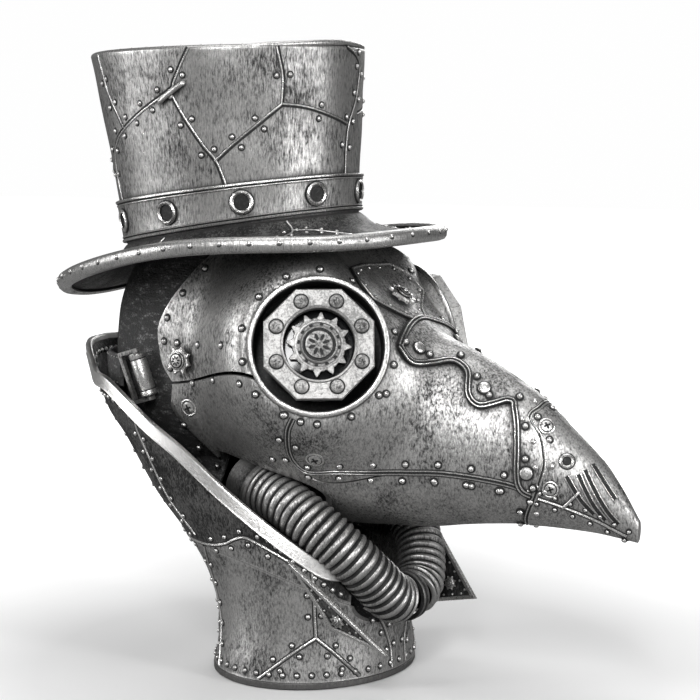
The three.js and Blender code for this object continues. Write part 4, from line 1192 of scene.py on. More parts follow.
print("eyepieces:", len(SIDES))

# %% [markdown]
# The dial in each lens has twelve pointed teeth, a ring of small holes, and a stepped hub with a
# flower of eight slots. It rides its own body, so it turns. The temple dial is the same part in
# small, with eight teeth, and the brow gear is fixed. The holes and slots are thin black inlays.

# %% The dials and gears
def hub_with_petals(radius, low, high, petals=8):
    ring = turned(
        [
            (0, low, 1), (radius, low, 1), (radius, high - 1.4, 0), (radius * 0.96, high - 0.7, 0),
            (radius * 0.9, high - 0.5, 0), (radius * 0.86, high - 1.1, 1), (radius * 0.76, high - 1.2, 1),
            (radius * 0.72, high - 0.2, 0), (radius * 0.66, high, 0), (0, high + 0.3, 0)
        ], 48
    )
    slots = []
    for k in range(petals):
        turn = k * 2 * math.pi / petals + 0.2
        outline = [
            (radius * (0.4 + 0.19 * math.cos(a)), radius * 0.085 * math.sin(a))
            for a in np.linspace(0, 2 * np.pi, 12, endpoint=False)
        ]
        c, s = math.cos(turn), math.sin(turn)
        slots.append(
            extruded([(x * c - y * s, x * s + y * c) for x, y in outline], high - 0.4, high + 0.42, 1)
        )
    return merge([ring, *slots])


def dial(teeth, root, tip, low, thick, hub, holes):
    star = extruded(gear_outline(teeth, root, tip), low, low + thick, 0, 0.5)
    rim = turned(
        [
            (root * 0.8, low + 1, 1), (root * 0.9, low + 1, 0), (root * 0.9, low + thick + 0.45, 0),
            (root * 0.84, low + thick + 0.6, 0), (root * 0.8, low + thick + 0.1, 1)
        ], 48
    )
    turns = (np.arange(holes) + 0.5) * 2 * math.pi / holes
    radius = (root * 0.8 + hub) / 2
    hole = stamped(
        turned([(0, -0.5, 1), (root * 0.072, -0.5, 1), (root * 0.072, 0.3, 1), (0, 0.34, 1)], 14),
        np.column_stack([radius * np.cos(turns), radius * np.sin(turns), np.full(holes, low + thick)]),
        np.tile([0.0, 0, 1], (holes, 1)), guide=(0, 1, 0)
    )
    return merge([star, rim, hole])


eye_dial = merge(
    [
        dial(12, 20.2, 24.6, -9, 4, 15, 12), hub_with_petals(14.2, -9, -2.2),
        turned([(0, -26, 0), (3, -26, 0), (3, -8.5, 0), (0, -8.5, 0)], 20)
    ]
)
for word, sign in SIDES.items():
    piece(
        f"eye_dial_{word}_star", on_eye(sign, eye_dial, 0.13), f"eye_dial_{word}", [AGED_SILVER, WASH],
        [f"eye_dial_{word}"]
    )
    joint = next(j for j in frame["joints"] if j["child"] == f"temple_dial_{word}")
    place = np.array(joint["pos_m"]) * 1000 - [X_SHIFT, 0, 0]
    small = merge([dial(8, 8.9, 11.5, 0, 3, 7, 8), hub_with_petals(7, 0, 5.5)])
    piece(
        f"temple_dial_{word}_star", stamped(small, place, joint["axis"]), f"temple_dial_{word}",
        [BRIGHT, WASH], [f"temple_dial_{word}"], slot="bright_silver"
    )
brow_at, brow_out = square_to(mask_skin, 44.0, 1e-4)
brow_gear = merge([dial(10, 9.5, 12, 0, 2.4, 6, 10), hub_with_petals(6, 0, 5)])
piece(
    "brow_gear_star",
    stamped(brow_gear, brow_at + brow_out * (BRIDGE_WALL + BROW_LIFT + 0.8), brow_out, guide=(1, 0, 0)),
    HEAD, [BRIGHT, WASH], ["brow_gear"], slot="bright_silver"
)
print("dial faces:", len(eye_dial[1]))

# %% [markdown]
# The top hat is sheet metal over a former: a patched crown, a riveted band with eyelets,
# a brim that droops and curls, and a rolled binding on its edge. Its panels are slightly dented,
# so a slow wave is added to the crown's formula. Every part rides the hat's body and lifts off.

# %% The crown
def dented(surface, size=0.9):
    def skin(a, b, lift=0.0):
        t, h = np.radians(a), np.asarray(b, float)
        wave = np.sin(3 * t + 0.045 * h) * np.sin(0.05 * h + 1.3) + 0.6 * np.sin(7 * t - 0.03 * h + 0.8)
        return surface(a, b, lift + size * 0.6 * wave * smooth(h / 30) * smooth((CROWN_HEIGHT + 12 - h) / 30))
    return skin


crown = dented(crown_skin)


def crown_lip(angle):
    """The crown's upper edge rises in a rolled lip at the front."""
    return 3.5 * smooth(1 - np.abs(((angle + 180) % 360) - 180) / 60)


def crown_body(count=180):
    angle = np.linspace(0, 360, count, endpoint=False)
    heights = np.linspace(CROWN_FOOT, CROWN_HEIGHT - 3.5, 70)
    outer = [crown(angle, h) for h in heights]
    edge = [
        crown(angle, CROWN_HEIGHT - 3.5 + 3.5 * math.sin(t), -5.5 * (1 - math.cos(t)))
        for t in np.linspace(0.2, math.pi / 2, 7)
    ]
    top = []
    for share in (0.97, 0.93, 0.8, 0.6, 0.4, 0.2, 0.05):
        ring = crown(angle, CROWN_HEIGHT, -6.0)
        top.append(
            lerp(ring.mean(0) + HAT_AXIS * 1.5, ring - HAT_AXIS * 1.4 * smooth((1 - share) / 0.05), share)
        )
    inner = [crown_skin(angle, h, -3.6) for h in np.linspace(CROWN_HEIGHT - 6, CROWN_FOOT, 24)]
    ceiling = [lerp(inner[0].mean(0), inner[0], share) for share in (0.05, 0.5)]
    return ring_body([*top[::-1], *edge[::-1], *outer[::-1], *inner[::-1], *ceiling[::-1]], loop=False)


crown_shell = piece("crown_shell", crown_body(), HAT, [HAT_SILVER], stands_for=["hat_crown"], slot="silver")
print("crown faces:", len(crown_shell.data.polygons))

# %% [markdown]
# The patches of the crown meet on irregular seams, as if it had been mended many times. Each line
# is a few corners in degrees round the crown and millimetres up it. The near side's lines are
# mirrored to the far side where they can be, and three more lines close the rear and the far side.

# %% Seams and rivets of the crown
crown_lines = [
    [
        (-76, 141), (-84, 116), (-87, 109), (-104, 94), (-116, 84), (-124, 77), (-132, 66), (-135, 50),
        (-134, 31)
    ], [(-128, 140), (-126, 116), (-119, 92), (-117, 84)],
    [(-87, 109), (-82, 88), (-75, 64), (-70, 50), (-67, 31)],
    [(-70, 50), (-60, 64), (-50, 77), (-39, 92)], [(-39, 92), (-38, 116), (-40, 141)],
    [(-39, 92), (-28, 89), (-15, 82), (-1, 74)],
    [(-3, 141), (8, 132), (12, 121), (8, 97), (1, 76), (-1, 56), (-2, 31)],
]
crown_lines += other_side([crown_lines[0], crown_lines[2], crown_lines[3], crown_lines[4]])
crown_lines += [
    [(-135, 50), (-155, 62), (-182, 84), (-200, 92), (-234, 78)],
    [(-182, 84), (-176, 112), (-180, 141)],
    [(39, 92), (26, 90), (10, 84)],
]
crown_seams = [on_skin(crown, line, 2.2) for line in crown_lines]
piece("crown_seams", swept(crown_seams, SPLIT_SEAM), HAT, [BRIGHT, WASH], slot="bright_silver")
crown_rows = [
    beside(line, side, 21 + 3 * (k % 3), False)
    for k, line in enumerate(crown_seams) for side in (5.4, -5.4)
]
top_angles = np.linspace(0, 360, 40, endpoint=False)
top_rim = crown(top_angles, np.full(40, float(CROWN_HEIGHT)), -11.0) - HAT_AXIS * 1.1
crown_rows.append((top_rim, np.tile(HAT_AXIS, (40, 1))))
piece("crown_rivets", rows_of(dome(1.9), *crown_rows), HAT, [BRIGHT, WASH], slot="bright_silver")
ends = standing_on(crown, [(-91, 101), (-80, 113)])
out = ends[1].mean(0)
arch = through(
    [
        ends[0][0] - out * 1.5, ends[0][0] + out * 2.2, lerp(*ends[0], 0.5) + out * 3.6,
        ends[0][1] + out * 2.2, ends[0][1] - out * 1.5
    ]
)
piece("crown_staple", ring_body(tube_rings(arch, 2.0, 12), loop=False), HAT, [BRIGHT], slot="bright_silver")
lip_angle = np.linspace(-58, 58, 60)
lip = crown(lip_angle, np.full(60, float(CROWN_HEIGHT - 2)), -2.4) + HAT_AXIS * crown_lip(lip_angle)[:, None]
piece(
    "crown_lip",
    ring_body(tube_rings(lip, 0.8 + 1.7 * smooth((58 - np.abs(lip_angle)) / 16), 12), loop=False), HAT,
    [HAT_SILVER], slot="silver"
)
print("crown rivets:", sum(len(r[0]) for r in crown_rows))

# %% [markdown]
# The band is a strip with a rolled bead along each edge. Its section is drawn once and carried
# round the crown. Ten eyelets are stamped into it; each has a raised lip and a dark floor.

# %% The band and its eyelets
BAND_SECTION = [
    (0, 0.4), (-0.3, 2.6), (0.2, 3.6), (1.4, 3.8), (2.1, 3.0), (2.6, 2.4), (3.1, 3.2), (3.8, 3.3),
    (4.4, 2.7), (5.2, 2.6), (25.8, 2.6), (26.6, 2.7), (27.2, 3.3), (27.9, 3.2), (28.4, 2.4), (28.9, 3.0),
    (29.6, 3.8), (30.8, 3.6), (31.3, 2.6), (31, 0.4)
]
angle = np.linspace(0, 360, 180, endpoint=False)
rings = np.array([crown_skin(angle, h, lift) for h, lift in BAND_SECTION])
points, faces = ring_body(rings)
columns = len(angle)
band_parts = [1 if k in (4, 5, 13, 14) else 0 for k in range(len(BAND_SECTION)) for _ in range(columns)]
piece("hat_band_strip", (points, faces, band_parts), HAT, [HAT_SILVER, WASH], ["hat_band"])
EYELETS = 10
turns = 12 + np.arange(EYELETS) * 360 / EYELETS
place, out = square_to(lambda a, b, lift=0.0: crown_skin(a, b, lift + 3.0), turns, np.full(EYELETS, 15.5))
piece(
    "hat_eyelets", stamped(eyelet(9.2, 6.4, 2.2), place, out), HAT, [BRIGHT, WASH],
    [f"hat_eyelet_{i + 1}" for i in range(EYELETS)], slot="bright_silver"
)
print("eyelets:", EYELETS)

# %% The brim and its binding
def brim_wave(angle, share, lift=0.0):
    t = np.radians(angle)
    wave = 1.3 * np.sin(3 * t + 0.6) + 0.8 * np.sin(5 * t + 2.0)
    return brim_skin(angle, share, lift + wave * smooth(np.asarray(share, float)))


def brim_top(angle, share, lift=0.0):
    """The brim's upper face sweeps up into the band's foot."""
    share = np.asarray(share, float)
    sweep = 6.5 * (1 - smooth(share / 0.3)) ** 2
    return brim_wave(angle, share, lift + sweep)


shares = np.concatenate([[-0.035], np.linspace(0.02, 0.97, 28)])
upper = [brim_top(angle, np.full(columns, s)) for s in shares]
lower = [brim_wave(angle, np.full(columns, s), -BRIM_WALL) for s in shares[::-1]]
piece(
    "brim_sheet", ring_body([*upper, *lower]), HAT, [DARK_SILVER], stands_for=["hat_brim"],
    slot="dark_silver"
)

turn = np.radians(angle)
edge = brim_wave(angle, np.full(columns, 0.94), -BRIM_WALL / 2)
outwards = hat_to_head(unit(np.stack([np.cos(turn) * 0.86, np.sin(turn), 0 * turn], -1))) - HAT_AT
middle = edge + outwards * 6.0
SECTION = [
    (-5.6, -4.4), (-4.0, -6.0), (-0.6, -6.2), (2.6, -5.6), (4.6, -3.4), (5.3, -0.4), (5.0, 2.6),
    (3.6, 4.8), (1.0, 6.0), (-2.4, 6.4), (-4.6, 5.7), (-5.6, 4.4), (-6.1, 3.6), (-5.4, 2.8), (-5.4, -2.8),
    (-6.1, -3.6)
]
binding = np.array([middle + outwards * a + HAT_AXIS * b for a, b in SECTION])
points, faces = ring_body(binding)
parts = [1 if k in (11, 12, 13, 14, 15) else 0 for k in range(len(SECTION)) for _ in range(columns)]
piece("brim_binding_roll", (points, faces, parts), HAT, [HAT_SILVER, WASH], ["brim_binding"])
line = np.vstack([middle, middle[:1]])
side_out = np.vstack([outwards, outwards[:1]])
row = even(np.hstack([line, side_out]), 22)[:-1]
rivet_out = unit(row[:, 3:] * 0.96 + HAT_AXIS * 0.28)
rim_rivets = rows_of(dome(1.7), (row[:, :3] + rivet_out * 5.0, rivet_out))
brim_lines = [
    [(-41, 0.06), (-41, 0.2), (-48, 0.5), (-40, 0.88)], [(-41, 0.2), (-30, 0.26), (-20, 0.5)],
    [(-100, 0.05), (-106, 0.4), (-98, 0.86)], [(-160, 0.05), (-150, 0.45), (-158, 0.86)]
]
brim_lines += other_side(brim_lines)
brim_seams = [on_skin(brim_top, line, 2.2) for line in brim_lines]
lined = [beside(line, side, 13, False) for line in brim_seams for side in (4.2, -4.2)]
inner_ring = np.linspace(0, 360, 28, endpoint=False)
lined.append(square_to(brim_top, inner_ring, np.full(28, 0.9), (1.0, 0.01)))
piece(
    "brim_rivets", merge([rim_rivets, rows_of(dome(1.5), *lined), swept(brim_seams, SPLIT_SEAM)]), HAT,
    [BRIGHT, WASH], slot="bright_silver"
)
frame["nodes"]["hat_sweatband"].data.materials.clear()
frame["nodes"]["hat_sweatband"].data.materials.append(STRAP_LEATHER)
print("brim rivets:", len(row) + sum(len(r[0]) for r in lined))

# %% [markdown]
# The hood is soft leather drawn over the head: it creases where it is pulled in under the hat and
# at the nape. A cloth simulation would be the usual way, but this hood is stretched tight, so
# shallow creases laid over the head's skin give the same look and never touch the mask.

# %% The hood and the neck sleeve
def hood_skin(x, q, lift=0.0):
    x, q = np.broadcast_arrays(np.asarray(x, float), np.asarray(q, float))
    crease = np.sin(0.11 * x + 9 * np.abs(q) + 1.7 * np.sin(6 * q)) * np.sin(0.05 * x - 5 * q)
    return head_skin(x, q, lift - 3.9 - 1.0 * (crease + 1) * 0.5)


q_ring = np.linspace(-1, 1, 160, endpoint=False) + 1 / 160
hood_x = np.concatenate(
    [
        HEAD_MIDDLE - (HEAD_MIDDLE - HEAD_REAR) * np.cos(np.linspace(0.03, 1, 44) * math.pi / 2),
        np.linspace(-108, -34, 40)
    ]
)
outer = [hood_skin(x, q_ring) for x in hood_x]
inner = [hood_skin(x, q_ring, -2.6) for x in hood_x[::-1]]
hood = piece(
    "leather_hood", ring_body([*outer, *inner], loop=False), HEAD, [LEATHER], stands_for=["hood"],
    slot="leather"
)
carve(hood, neck_cutter(), *hose_cutters)
neck_rows = curve_through(NECK_OVALS)


def neck_ring(z, lift, count=120):
    middle, length, width = neck_rows(z)
    turn = np.linspace(0, 2 * np.pi, count, endpoint=False)
    fold = -0.8 * (1 + np.sin(0.16 * z + 3 * np.sin(2 * turn)))
    return np.stack(
        [
            middle + (length + lift + fold) * np.cos(turn), (width + lift + fold) * np.sin(turn),
            np.full(count, z)
        ], -1
    )


levels = np.linspace(5.3, 186, 60)
neck = piece(
    "neck_leather",
    ring_body([neck_ring(z, 0) for z in levels] + [neck_ring(z, -2.4) for z in levels[::-1]]), HEAD,
    [LEATHER], stands_for=["neck_sleeve"], slot="leather"
)
carve(neck, *hose_cutters)
print("hood faces:", len(hood.data.polygons))

# %% [markdown]
# The breathing hoses are corrugated: a wire coil inside pushes the skin out in rounded ribs with
# deep grooves between them. A tube whose radius swings along its line gives the ribs, and the
# rings in the grooves take the black wash.

# %% The hoses, their sockets and the throat valve
def corrugated(sign, pitch=6.4):
    line = hose_middle(sign, pitch / 8)
    along = np.arange(len(line)) * pitch / 8
    wave = 0.5 + 0.5 * np.cos(along * 2 * math.pi / pitch)
    radius = HOSE_RADIUS - 2.5 + 2.5 * wave ** 0.55
    wobble = 0.25 * np.sin(along * 0.9)
    outer, inner = tube_rings(line, radius + wobble, 56), tube_rings(line, HOSE_RADIUS - HOSE_WALL - 0.2, 56)
    points, faces = ring_body([*outer, *inner[::-1]])
    groove = np.concatenate([wave < 0.16, np.ones(len(line), bool)])
    parts = np.repeat(groove.astype(int), 56)
    return points, faces, parts.tolist()


def valve_body():
    ribs = [
        (16.5, -4.2, 1), (19.6, -4.2, 0), (20.2, -3.4, 0), (20.2, -2.2, 0), (19.0, -1.2, 1),
        (19.0, 1.2, 0), (20.2, 2.2, 0), (20.2, 3.4, 0), (19.6, 4.2, 0), (16.5, 4.2, 1)
    ]
    return stamped(turned(ribs, 56), hose_line[-1] * [1, 0, 1], (0, 1, 0))


for word, sign in SIDES.items():
    piece(
        f"hose_{word}_ribbed", corrugated(sign), HEAD, [HOSE_SILVER, WASH], [f"hose_{word}"], slot="hose",
        crease=60
    )
    middle = hose_middle(sign)
    collar_ring = turned(
        [
            (16.5, -22, 1), (21.5, -22, 0), (21.5, -5.4, 0), (22.6, -4.6, 0), (22.6, -1.6, 0),
            (21.5, -0.4, 0), (16.5, -0.4, 1)
        ], 56
    )
    piece(
        f"hose_socket_{word}_turned", stamped(collar_ring, middle[0], middle[1] - middle[0]), HEAD,
        [DARK_SILVER, WASH], [f"hose_socket_{word}"], slot="dark_silver"
    )
piece("throat_valve_turned", valve_body(), HEAD, [DARK_SILVER, WASH], ["throat_valve"], slot="dark_silver")
print("ribs on each hose:", int(len(hose_middle(1, 0.8)) / 8))

# %% [markdown]
# A strap runs round the back of the hood between two rollers. Straps are modelled straight: a
# flat band with stitched edges, because a simulation would round its edges away. The rollers are
# bright turned steel and turn on their own pins.

# %% The strap, the rollers and the buckles
HOOD_DEPTH, STRAP_WIDTH, STRAP_WALL, ROLLER_Z = 3.8, 26, 3, 238


def strap_place(angle, height, lift):
    c, s = np.cos(angle), np.sin(angle)
    x = HEAD_MIDDLE - (HEAD_MIDDLE - HEAD_REAR + lift - HOOD_DEPTH) * np.abs(c) ** 0.85
    y = np.sign(angle) * (HALF_HEAD + lift - HOOD_DEPTH) * np.abs(s) ** 0.85
    return np.stack(np.broadcast_arrays(x, y, height), -1)


def strap(u, v, side):
    angle = np.radians(lerp(-56, 56, u))
    edge = 1 - np.clip(np.abs(2 * v - 1) * 1.06 - 0.06, 0, 1) ** 10 * 0.25
    return strap_place(
        angle, ROLLER_Z + (v - 0.5) * STRAP_WIDTH, np.where(side == 0, 0.8 + STRAP_WALL * edge, 0.8)
    )


sheet("rear_strap_leather", strap, 90, 20, HEAD, [STRAP_LEATHER], stands_for=["rear_strap"], slot="leather")
stitches = []
for share in (-0.4, 0.4):
    line = even(
        strap_place(
            np.radians(np.linspace(-54, 54, 160)), ROLLER_Z + share * STRAP_WIDTH, 0.8 + STRAP_WALL
        ), 1.0
    )
    for k in range(0, len(line) - 5, 6):
        points, faces = ring_body(tube_rings(line[k:k + 4], [0.3, 0.62, 0.62, 0.3], 6), loop=False)
        stitches.append((points, faces, [0] * len(faces)))
piece("strap_stitches", merge(stitches), HEAD, [BRIGHT], slot="leather")
for word, sign in SIDES.items():
    joint = next(j for j in frame["joints"] if j["child"] == f"strap_roller_{word}")
    place = np.array(joint["pos_m"]) * 1000 - [X_SHIFT, 0, 0]
    roller = turned(
        [
            (2.9, -18, 0), (5.7, -18, 0), (6.5, -17, 0), (6.5, -14, 0), (6.1, -13.4, 1), (6.1, -12.6, 0),
            (6.5, -12, 0), (6.5, 12, 0), (6.1, 12.6, 1), (6.1, 13.4, 0), (6.5, 14, 0), (6.5, 17, 0),
            (5.7, 18, 0), (2.9, 18, 0)
        ], 48
    )
    piece(
        f"strap_roller_{word}_turned", stamped(roller, place, joint["axis"]), f"strap_roller_{word}",
        [BRIGHT, WASH], [f"strap_roller_{word}"], slot="bright_silver"
    )
    frame["nodes"][f"strap_buckle_{word}"].data.materials.clear()
    frame["nodes"][f"strap_buckle_{word}"].data.materials.append(SILVER)
print("stitches:", len(stitches))

# %% [markdown]
# The collar is dark above a silver foot: that dark finish is painted shade, for the shade under
# the collar's flare. A broad bright binding runs on its edge, and the gorget under it is silver
# too. All of them follow one flaring skin. The binding is what catches the eye, so it is a real
# strip folded over the collar's edge.

# %% The collar and its bright binding
def collar_low(angle):
    return gorget_edge(angle) + 0.3


collar_border = curve_through(
    [
        [0, 97], [20, 103], [40, 97], [64, 105], [82, 111], [94, 118], [103, 111], [112, 101], [126, 86],
        [142, 60], [180, 50]
    ]
)


def border_height(angle):
    return np.maximum(collar_border(np.abs(angle))[..., 0], collar_low(angle) + 2)


def collar_plate(u, v, side):
    angle = lerp(-COLLAR_END, COLLAR_END, u)
    return collar_skin(
        angle, lerp(border_height(angle) + 0.1, collar_edge(np.abs(angle))[..., 0] - 0.5, v),
        -side * COLLAR_WALL
    )


def collar_foot(u, v, side):
    angle = lerp(-COLLAR_END, COLLAR_END, u)
    return collar_skin(angle, lerp(collar_low(angle), border_height(angle), v), -side * COLLAR_WALL)


def hose_room(sign):
    line = even(through(hose_line * [1, sign, 1], 24), 6)
    return ring_body(tube_rings(line, HOSE_RADIUS + 1.2, 40), loop=False)


# The collar's dark finish is painted shade under its flare; the foot below keeps plain silver.
collar = sheet(
    "collar_sheet", collar_plate, 220, 50, HEAD, [DARK_SILVER], stands_for=["collar"], slot="dark_silver"
)
foot = sheet("collar_foot", collar_foot, 220, 14, HEAD, [SILVER], slot="dark_silver")
for made in (collar, foot):
    carve(made, hose_room(-1), hose_room(1))
edge_angle = np.linspace(-COLLAR_END + 1.5, COLLAR_END - 1.5, 260)
edge_top = collar_edge(np.abs(edge_angle))[:, 0] - 0.5
edge_line = collar_skin(edge_angle, edge_top, -COLLAR_WALL / 2)
edge_ahead = unit(np.gradient(edge_line, axis=0))
edge_out = unit(collar_skin(edge_angle, edge_top - 4, 2.0) - collar_skin(edge_angle, edge_top - 4, -2.0))
edge_up = unit(np.cross(edge_ahead, edge_out))
edge_up *= np.sign(edge_up[:, 2:])
edge_out = unit(np.cross(edge_up, edge_ahead)) * np.sign(
    (np.cross(edge_up, edge_ahead) * edge_out).sum(-1, keepdims=True)
)
BINDING = [
    (-9.0, 1.4), (-9.0, 2.5), (-8.2, 3.1), (-6.8, 2.5), (0.0, 2.7), (1.6, 1.9), (2.0, 0.0), (1.6, -1.9),
    (0.0, -2.7), (-5.0, -2.5), (-5.6, -1.4), (0.3, -1.4), (0.3, 1.4)
]
taper = 0.35 + 0.65 * smooth((COLLAR_END - np.abs(edge_angle)) / 14)
binding = edge_line[:, None] + np.array(
    [[(rise * t, out) for rise, out in BINDING] for t in taper]
)[:, :, :1] * edge_up[:, None] + np.array(BINDING)[None, :, 1:] * edge_out[:, None]
piece("collar_binding", ring_body(binding, loop=False), HEAD, [EDGE_SILVER], slot="bright_silver")
print("collar binding runs", round(float(np.linalg.norm(np.diff(edge_line, axis=0), axis=1).sum())), "mm")

# %% The gorget and the base ring
def gorget_rings(lift, count=200):
    angle = np.linspace(-180, 180, count, endpoint=False)
    return [
        collar_skin(angle, lerp(BASE_HEIGHT + 0.3, gorget_edge(angle), share), lift)
        for share in np.linspace(0, 1, 60)
    ]


gorget = piece(
    "gorget_sheet", ring_body([*gorget_rings(0.0), *gorget_rings(-COLLAR_WALL)[::-1]]), HEAD, [SILVER],
    stands_for=["gorget"]
)
valve_room = rod(HOSE_RADIUS + 0.3, -60, 60, hose_line[-1] * [1, 0, 1], (0, 1, 0))
carve(gorget, neck_cutter(), valve_room)
turn = np.linspace(0, 2 * np.pi, 160, endpoint=False)


def base_oval(z, inset):
    return np.stack([-33 + (79 - inset) * np.cos(turn), (92 - inset) * np.sin(turn), np.full(160, z)], -1)


BASE = [(0, 0.6), (0.6, 0), (4.2, 0), (5, 0.8), (5, 12), (0, 12)]
piece(
    "base_ring_turned", ring_body([base_oval(z, inset) for z, inset in BASE]), HEAD, [DARK_SILVER],
    stands_for=["base_ring"], slot="dark_silver"
)
print("base ring height, mm:", BASE_HEIGHT)

# %% [markdown]
# Seams again: the gorget is made of patches like the hat, and the collar has five seams and a row
# of rivets under its edge, outside and inside. The lines are in degrees from the rear and
# millimetres of height.

# %% Seams and rivets of the collar and gorget
near_lines = [
    [(a, float(border_height(a))) for a in (-62, -72, -82, -88, -94, -98, -103, -108, -113)],
    [(-122, 92), (-122, 66), (-124, 40)],
    [(-124, 40), (-110, 27), (-92, 7)],
    [(-124, 40), (-136, 26), (-150, 7)],
    [(-62, 104), (-52, 79), (-49, 50), (-51, 26), (-55, 7)],
    [(-150, 62), (-164, 48), (-172, 26), (-173, 7)],
]
rear_lines = [
    [(a, float(border_height(a))) for a in range(-62, 63, 4)], [(0, 96), (0, 60), (0, 7)],
    [(0, 60), (-26, 44), (-51, 26)], [(0, 60), (26, 44), (51, 26)]
]
gorget_seams = [on_skin(collar_skin, line, 2.2) for line in near_lines + other_side(near_lines) + rear_lines]
collar_lines = [
    [(-66, 205), (-61, 188), (-59, 165), (-58, 138), (-60, 112)], [(0, 252), (0, 170), (0, 104)],
    [(-30, 238), (-24, 200), (-28, 150), (-22, 104)]
]
collar_seams = [
    on_skin(collar_skin, line, 2.2)
    for line in collar_lines + other_side([collar_lines[0], collar_lines[2]])
]
piece(
    "collar_seams", swept(gorget_seams + collar_seams, SINGLE_BEAD), HEAD, [BRIGHT, WASH],
    slot="bright_silver"
)
rows = [beside(line, side, 17, False) for line in gorget_seams + collar_seams for side in (5.2, -5.2)]
skirt = np.linspace(-COLLAR_END + 6, COLLAR_END - 6, 64)
rows.append(square_to(collar_skin, skirt, collar_edge(np.abs(skirt))[:, 0] - 16.0, (1.0, 1.0)))
inside, inside_out = square_to(collar_skin, skirt, collar_edge(np.abs(skirt))[:, 0] - 12.0, (1.0, 1.0))
rows.append((inside - inside_out * COLLAR_WALL, -inside_out))
foot = np.linspace(-180, 180, 44, endpoint=False)
rows.append(square_to(collar_skin, foot, np.full(44, 11.0), (1.0, 1.0)))
piece("collar_rivets", rows_of(dome(1.9), *rows), HEAD, [BRIGHT, WASH], slot="bright_silver")
print("collar rivets:", sum(len(r[0]) for r in rows))

# %% [markdown]
# Each lapel is a pointed flap of dark plate with a bright raised border, and a row of rivets and a
# gear on each face. The three corners come from the drawing, so the flap is built in its own
# plane. Both stand where the CAD model has them, which is clear of the collar by 15 mm or more.

# %% The lapels
LAPELS = {
    "right": [(2, -98, 106), (77, -76, 37), (30, -80, 52)],
    "left": [(38, 76, 107), (84, 61, 52), (46, 66, 44)]
}


def lapel_flap(word):
    corners = np.array(LAPELS[word], float)
    across = np.cross(corners[1] - corners[0], corners[2] - corners[0])
    out = unit(across)
    facing = np.linalg.norm(np.roll(corners, -1, 0) - np.roll(corners, 1, 0), axis=1)
    middle = (corners * facing[:, None]).sum(0) / facing.sum()
    reach = np.linalg.norm(across) / facing.sum()
    rim = np.vstack(
        [
            lerp(a, b, np.linspace(0, 1, 24, endpoint=False)[:, None])
            for a, b in zip(corners, np.roll(corners, -1, 0))
        ]
    )

    def inset(depth, height):
        return middle + (rim - middle) * (1 - min(depth / reach, 0.95)) + out * height

    section = [
        (-0.8, 60), (-0.8, 3.4), (-2.0, 2.8), (-2.0, 0.4), (-1.3, 0), (1.3, 0), (2.0, 0.4), (2.0, 2.8),
        (0.8, 3.4), (0.8, 60)
    ]
    points, faces = ring_body([inset(depth, height) for height, depth in section], loop=False)
    made = [(points, faces, [0 if 1 <= i // len(rim) <= 7 else 2 for i in range(len(faces))])]
    for side in (1, -1):
        row = inset(5.0, side * 0.8)
        row = even(np.vstack([row, row[:1]]), 9)[:-1]
        row = row[np.linalg.norm(row - middle, axis=1) > 8.5]
        made.append(stamped(dome(1.1), row, np.tile(out * side, (len(row), 1))))
        gear = merge([dial(8, 4.6, 6.2, 0, 1.6, 2.8, 8), hub_with_petals(3.2, 0, 2.8, 6)])
        made.append(stamped(gear, [middle + out * side * 0.7], [out * side]))
    return merge(made)


for word, sign in SIDES.items():
    piece(
        f"lapel_{word}_flap", lapel_flap(word), HEAD, [BRIGHT, WASH, DARK_SILVER], [f"lapel_{word}"],
        crease=30
    )
print("lapels:", len(LAPELS))

# %% [markdown]
# The stage is a pale floor and soft boxes of light. Bright metal shows what stands round it, so
# big soft lights make the long pale streaks, and the darker room between them makes the metal
# look black where it turns away. Floor and room are pale to the camera only. The camera stands as
# far off as for a studio portrait.

# %% The stage, the lights and the camera
def floor_finish():
    made, tree, shader, place = new_finish("pale_floor")
    shade = between(tree, noise(tree, place, 3, 2), 0.3, 0.7, 0.80, 0.84)
    seen = node(tree, "ShaderNodeLightPath").outputs["Is Camera Ray"]
    shade = times(tree, shade, between(tree, seen, 0, 1, 0.3, 1.0))
    grey = node(tree, "ShaderNodeCombineColor", {0: shade, 1: shade, 2: shade})
    tree.links.new(grey.outputs[0], shader.inputs["Base Color"])
    shader.inputs["Roughness"].default_value = 0.85
    away = node(tree, "ShaderNodeVectorMath", {0: place}, operation="LENGTH").outputs["Value"]
    shader.inputs["Emission Color"].default_value = (1, 1, 1, 1)
    tree.links.new(
        times(tree, seen, between(tree, away, 0.25, 0.9, 0, 0.95)), shader.inputs["Emission Strength"]
    )
    return made


def build_floor(half=9.0):
    mesh = bpy.data.meshes.new("studio_floor")
    mesh.from_pydata(
        [(-half, -half, -0.0006), (half, -half, -0.0006), (half, half, -0.0006), (-half, half, -0.0006)],
        [], [(0, 1, 2, 3)]
    )
    mesh.materials.append(floor_finish())
    floor = bpy.data.objects.new("studio_floor", mesh)
    bpy.context.scene.collection.objects.link(floor)


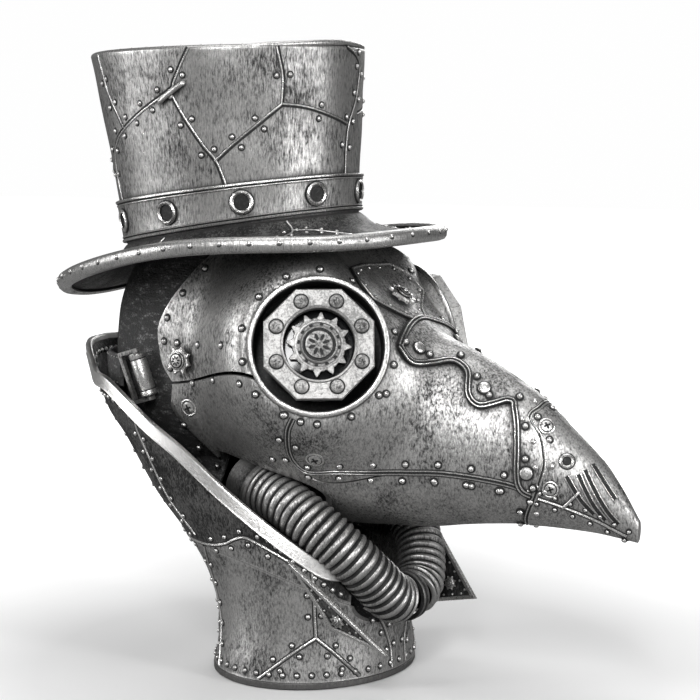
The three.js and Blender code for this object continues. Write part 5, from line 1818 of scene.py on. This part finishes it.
def soft_box(name, place, size, watts, target=(0, 0, 0.26)):
    light = bpy.data.lights.new(name, "AREA")
    light.shape, light.size, light.size_y, light.energy = "RECTANGLE", size[0], size[1], watts
    made = bpy.data.objects.new(name, light)
    made.location = place
    made.rotation_euler = (Vector(target) - Vector(place)).to_track_quat("-Z", "Y").to_euler()
    bpy.context.scene.collection.objects.link(made)


build_floor()
soft_box("key_box", (1.0, -2.3, 1.7), (0.42, 1.8), 52)
soft_box("front_strip", (2.3, -0.3, 0.7), (0.4, 1.6), 24)
soft_box("rear_strip", (-2.0, -1.5, 0.9), (0.5, 1.6), 26)
soft_box("top_box", (0.0, 0.2, 2.6), (1.8, 1.4), 22)
soft_box("back_box", (-0.6, 2.4, 1.3), (1.5, 1.2), 24)
world = bpy.data.worlds.new("studio")
world.use_nodes = True
backdrop = world.node_tree.nodes["Background"]
backdrop.inputs["Color"].default_value = (0.92, 0.92, 0.92, 1)
seen = node(world.node_tree, "ShaderNodeLightPath").outputs["Is Camera Ray"]
world.node_tree.links.new(between(world.node_tree, seen, 0, 1, 0.15, 1.08), backdrop.inputs["Strength"])
bpy.context.scene.world = world
bpy.context.scene.view_settings.view_transform = "Standard"
bpy.context.scene.view_settings.look = "None"

CAMERA_AZIMUTH, CAMERA_HEIGHT, CAMERA_AWAY = math.radians(30), math.radians(6.5), 1.511
AIM = Vector((X_SHIFT / 1000, 0, 0.258))
towards = Vector(
    (
        math.sin(CAMERA_AZIMUTH) * math.cos(CAMERA_HEIGHT),
        -math.cos(CAMERA_AZIMUTH) * math.cos(CAMERA_HEIGHT), math.sin(CAMERA_HEIGHT)
    )
)
camera = bpy.data.objects.new("camera", bpy.data.cameras.new("camera"))
camera.data.sensor_width, camera.data.lens = 36, 97.13
camera.location = AIM + towards * CAMERA_AWAY
camera.rotation_mode = "QUATERNION"
camera.rotation_quaternion = (-towards).to_track_quat("-Z", "Y")
bpy.context.scene.collection.objects.link(camera)
bpy.context.scene.camera = camera
print("camera stands", round(CAMERA_AWAY, 2), "m off")

# %% [markdown]
# Last, the scene is brought up to date. Rivets and beads may stand a little proud, but the size
# must not change.

# %% Finish
bpy.context.view_layer.update()
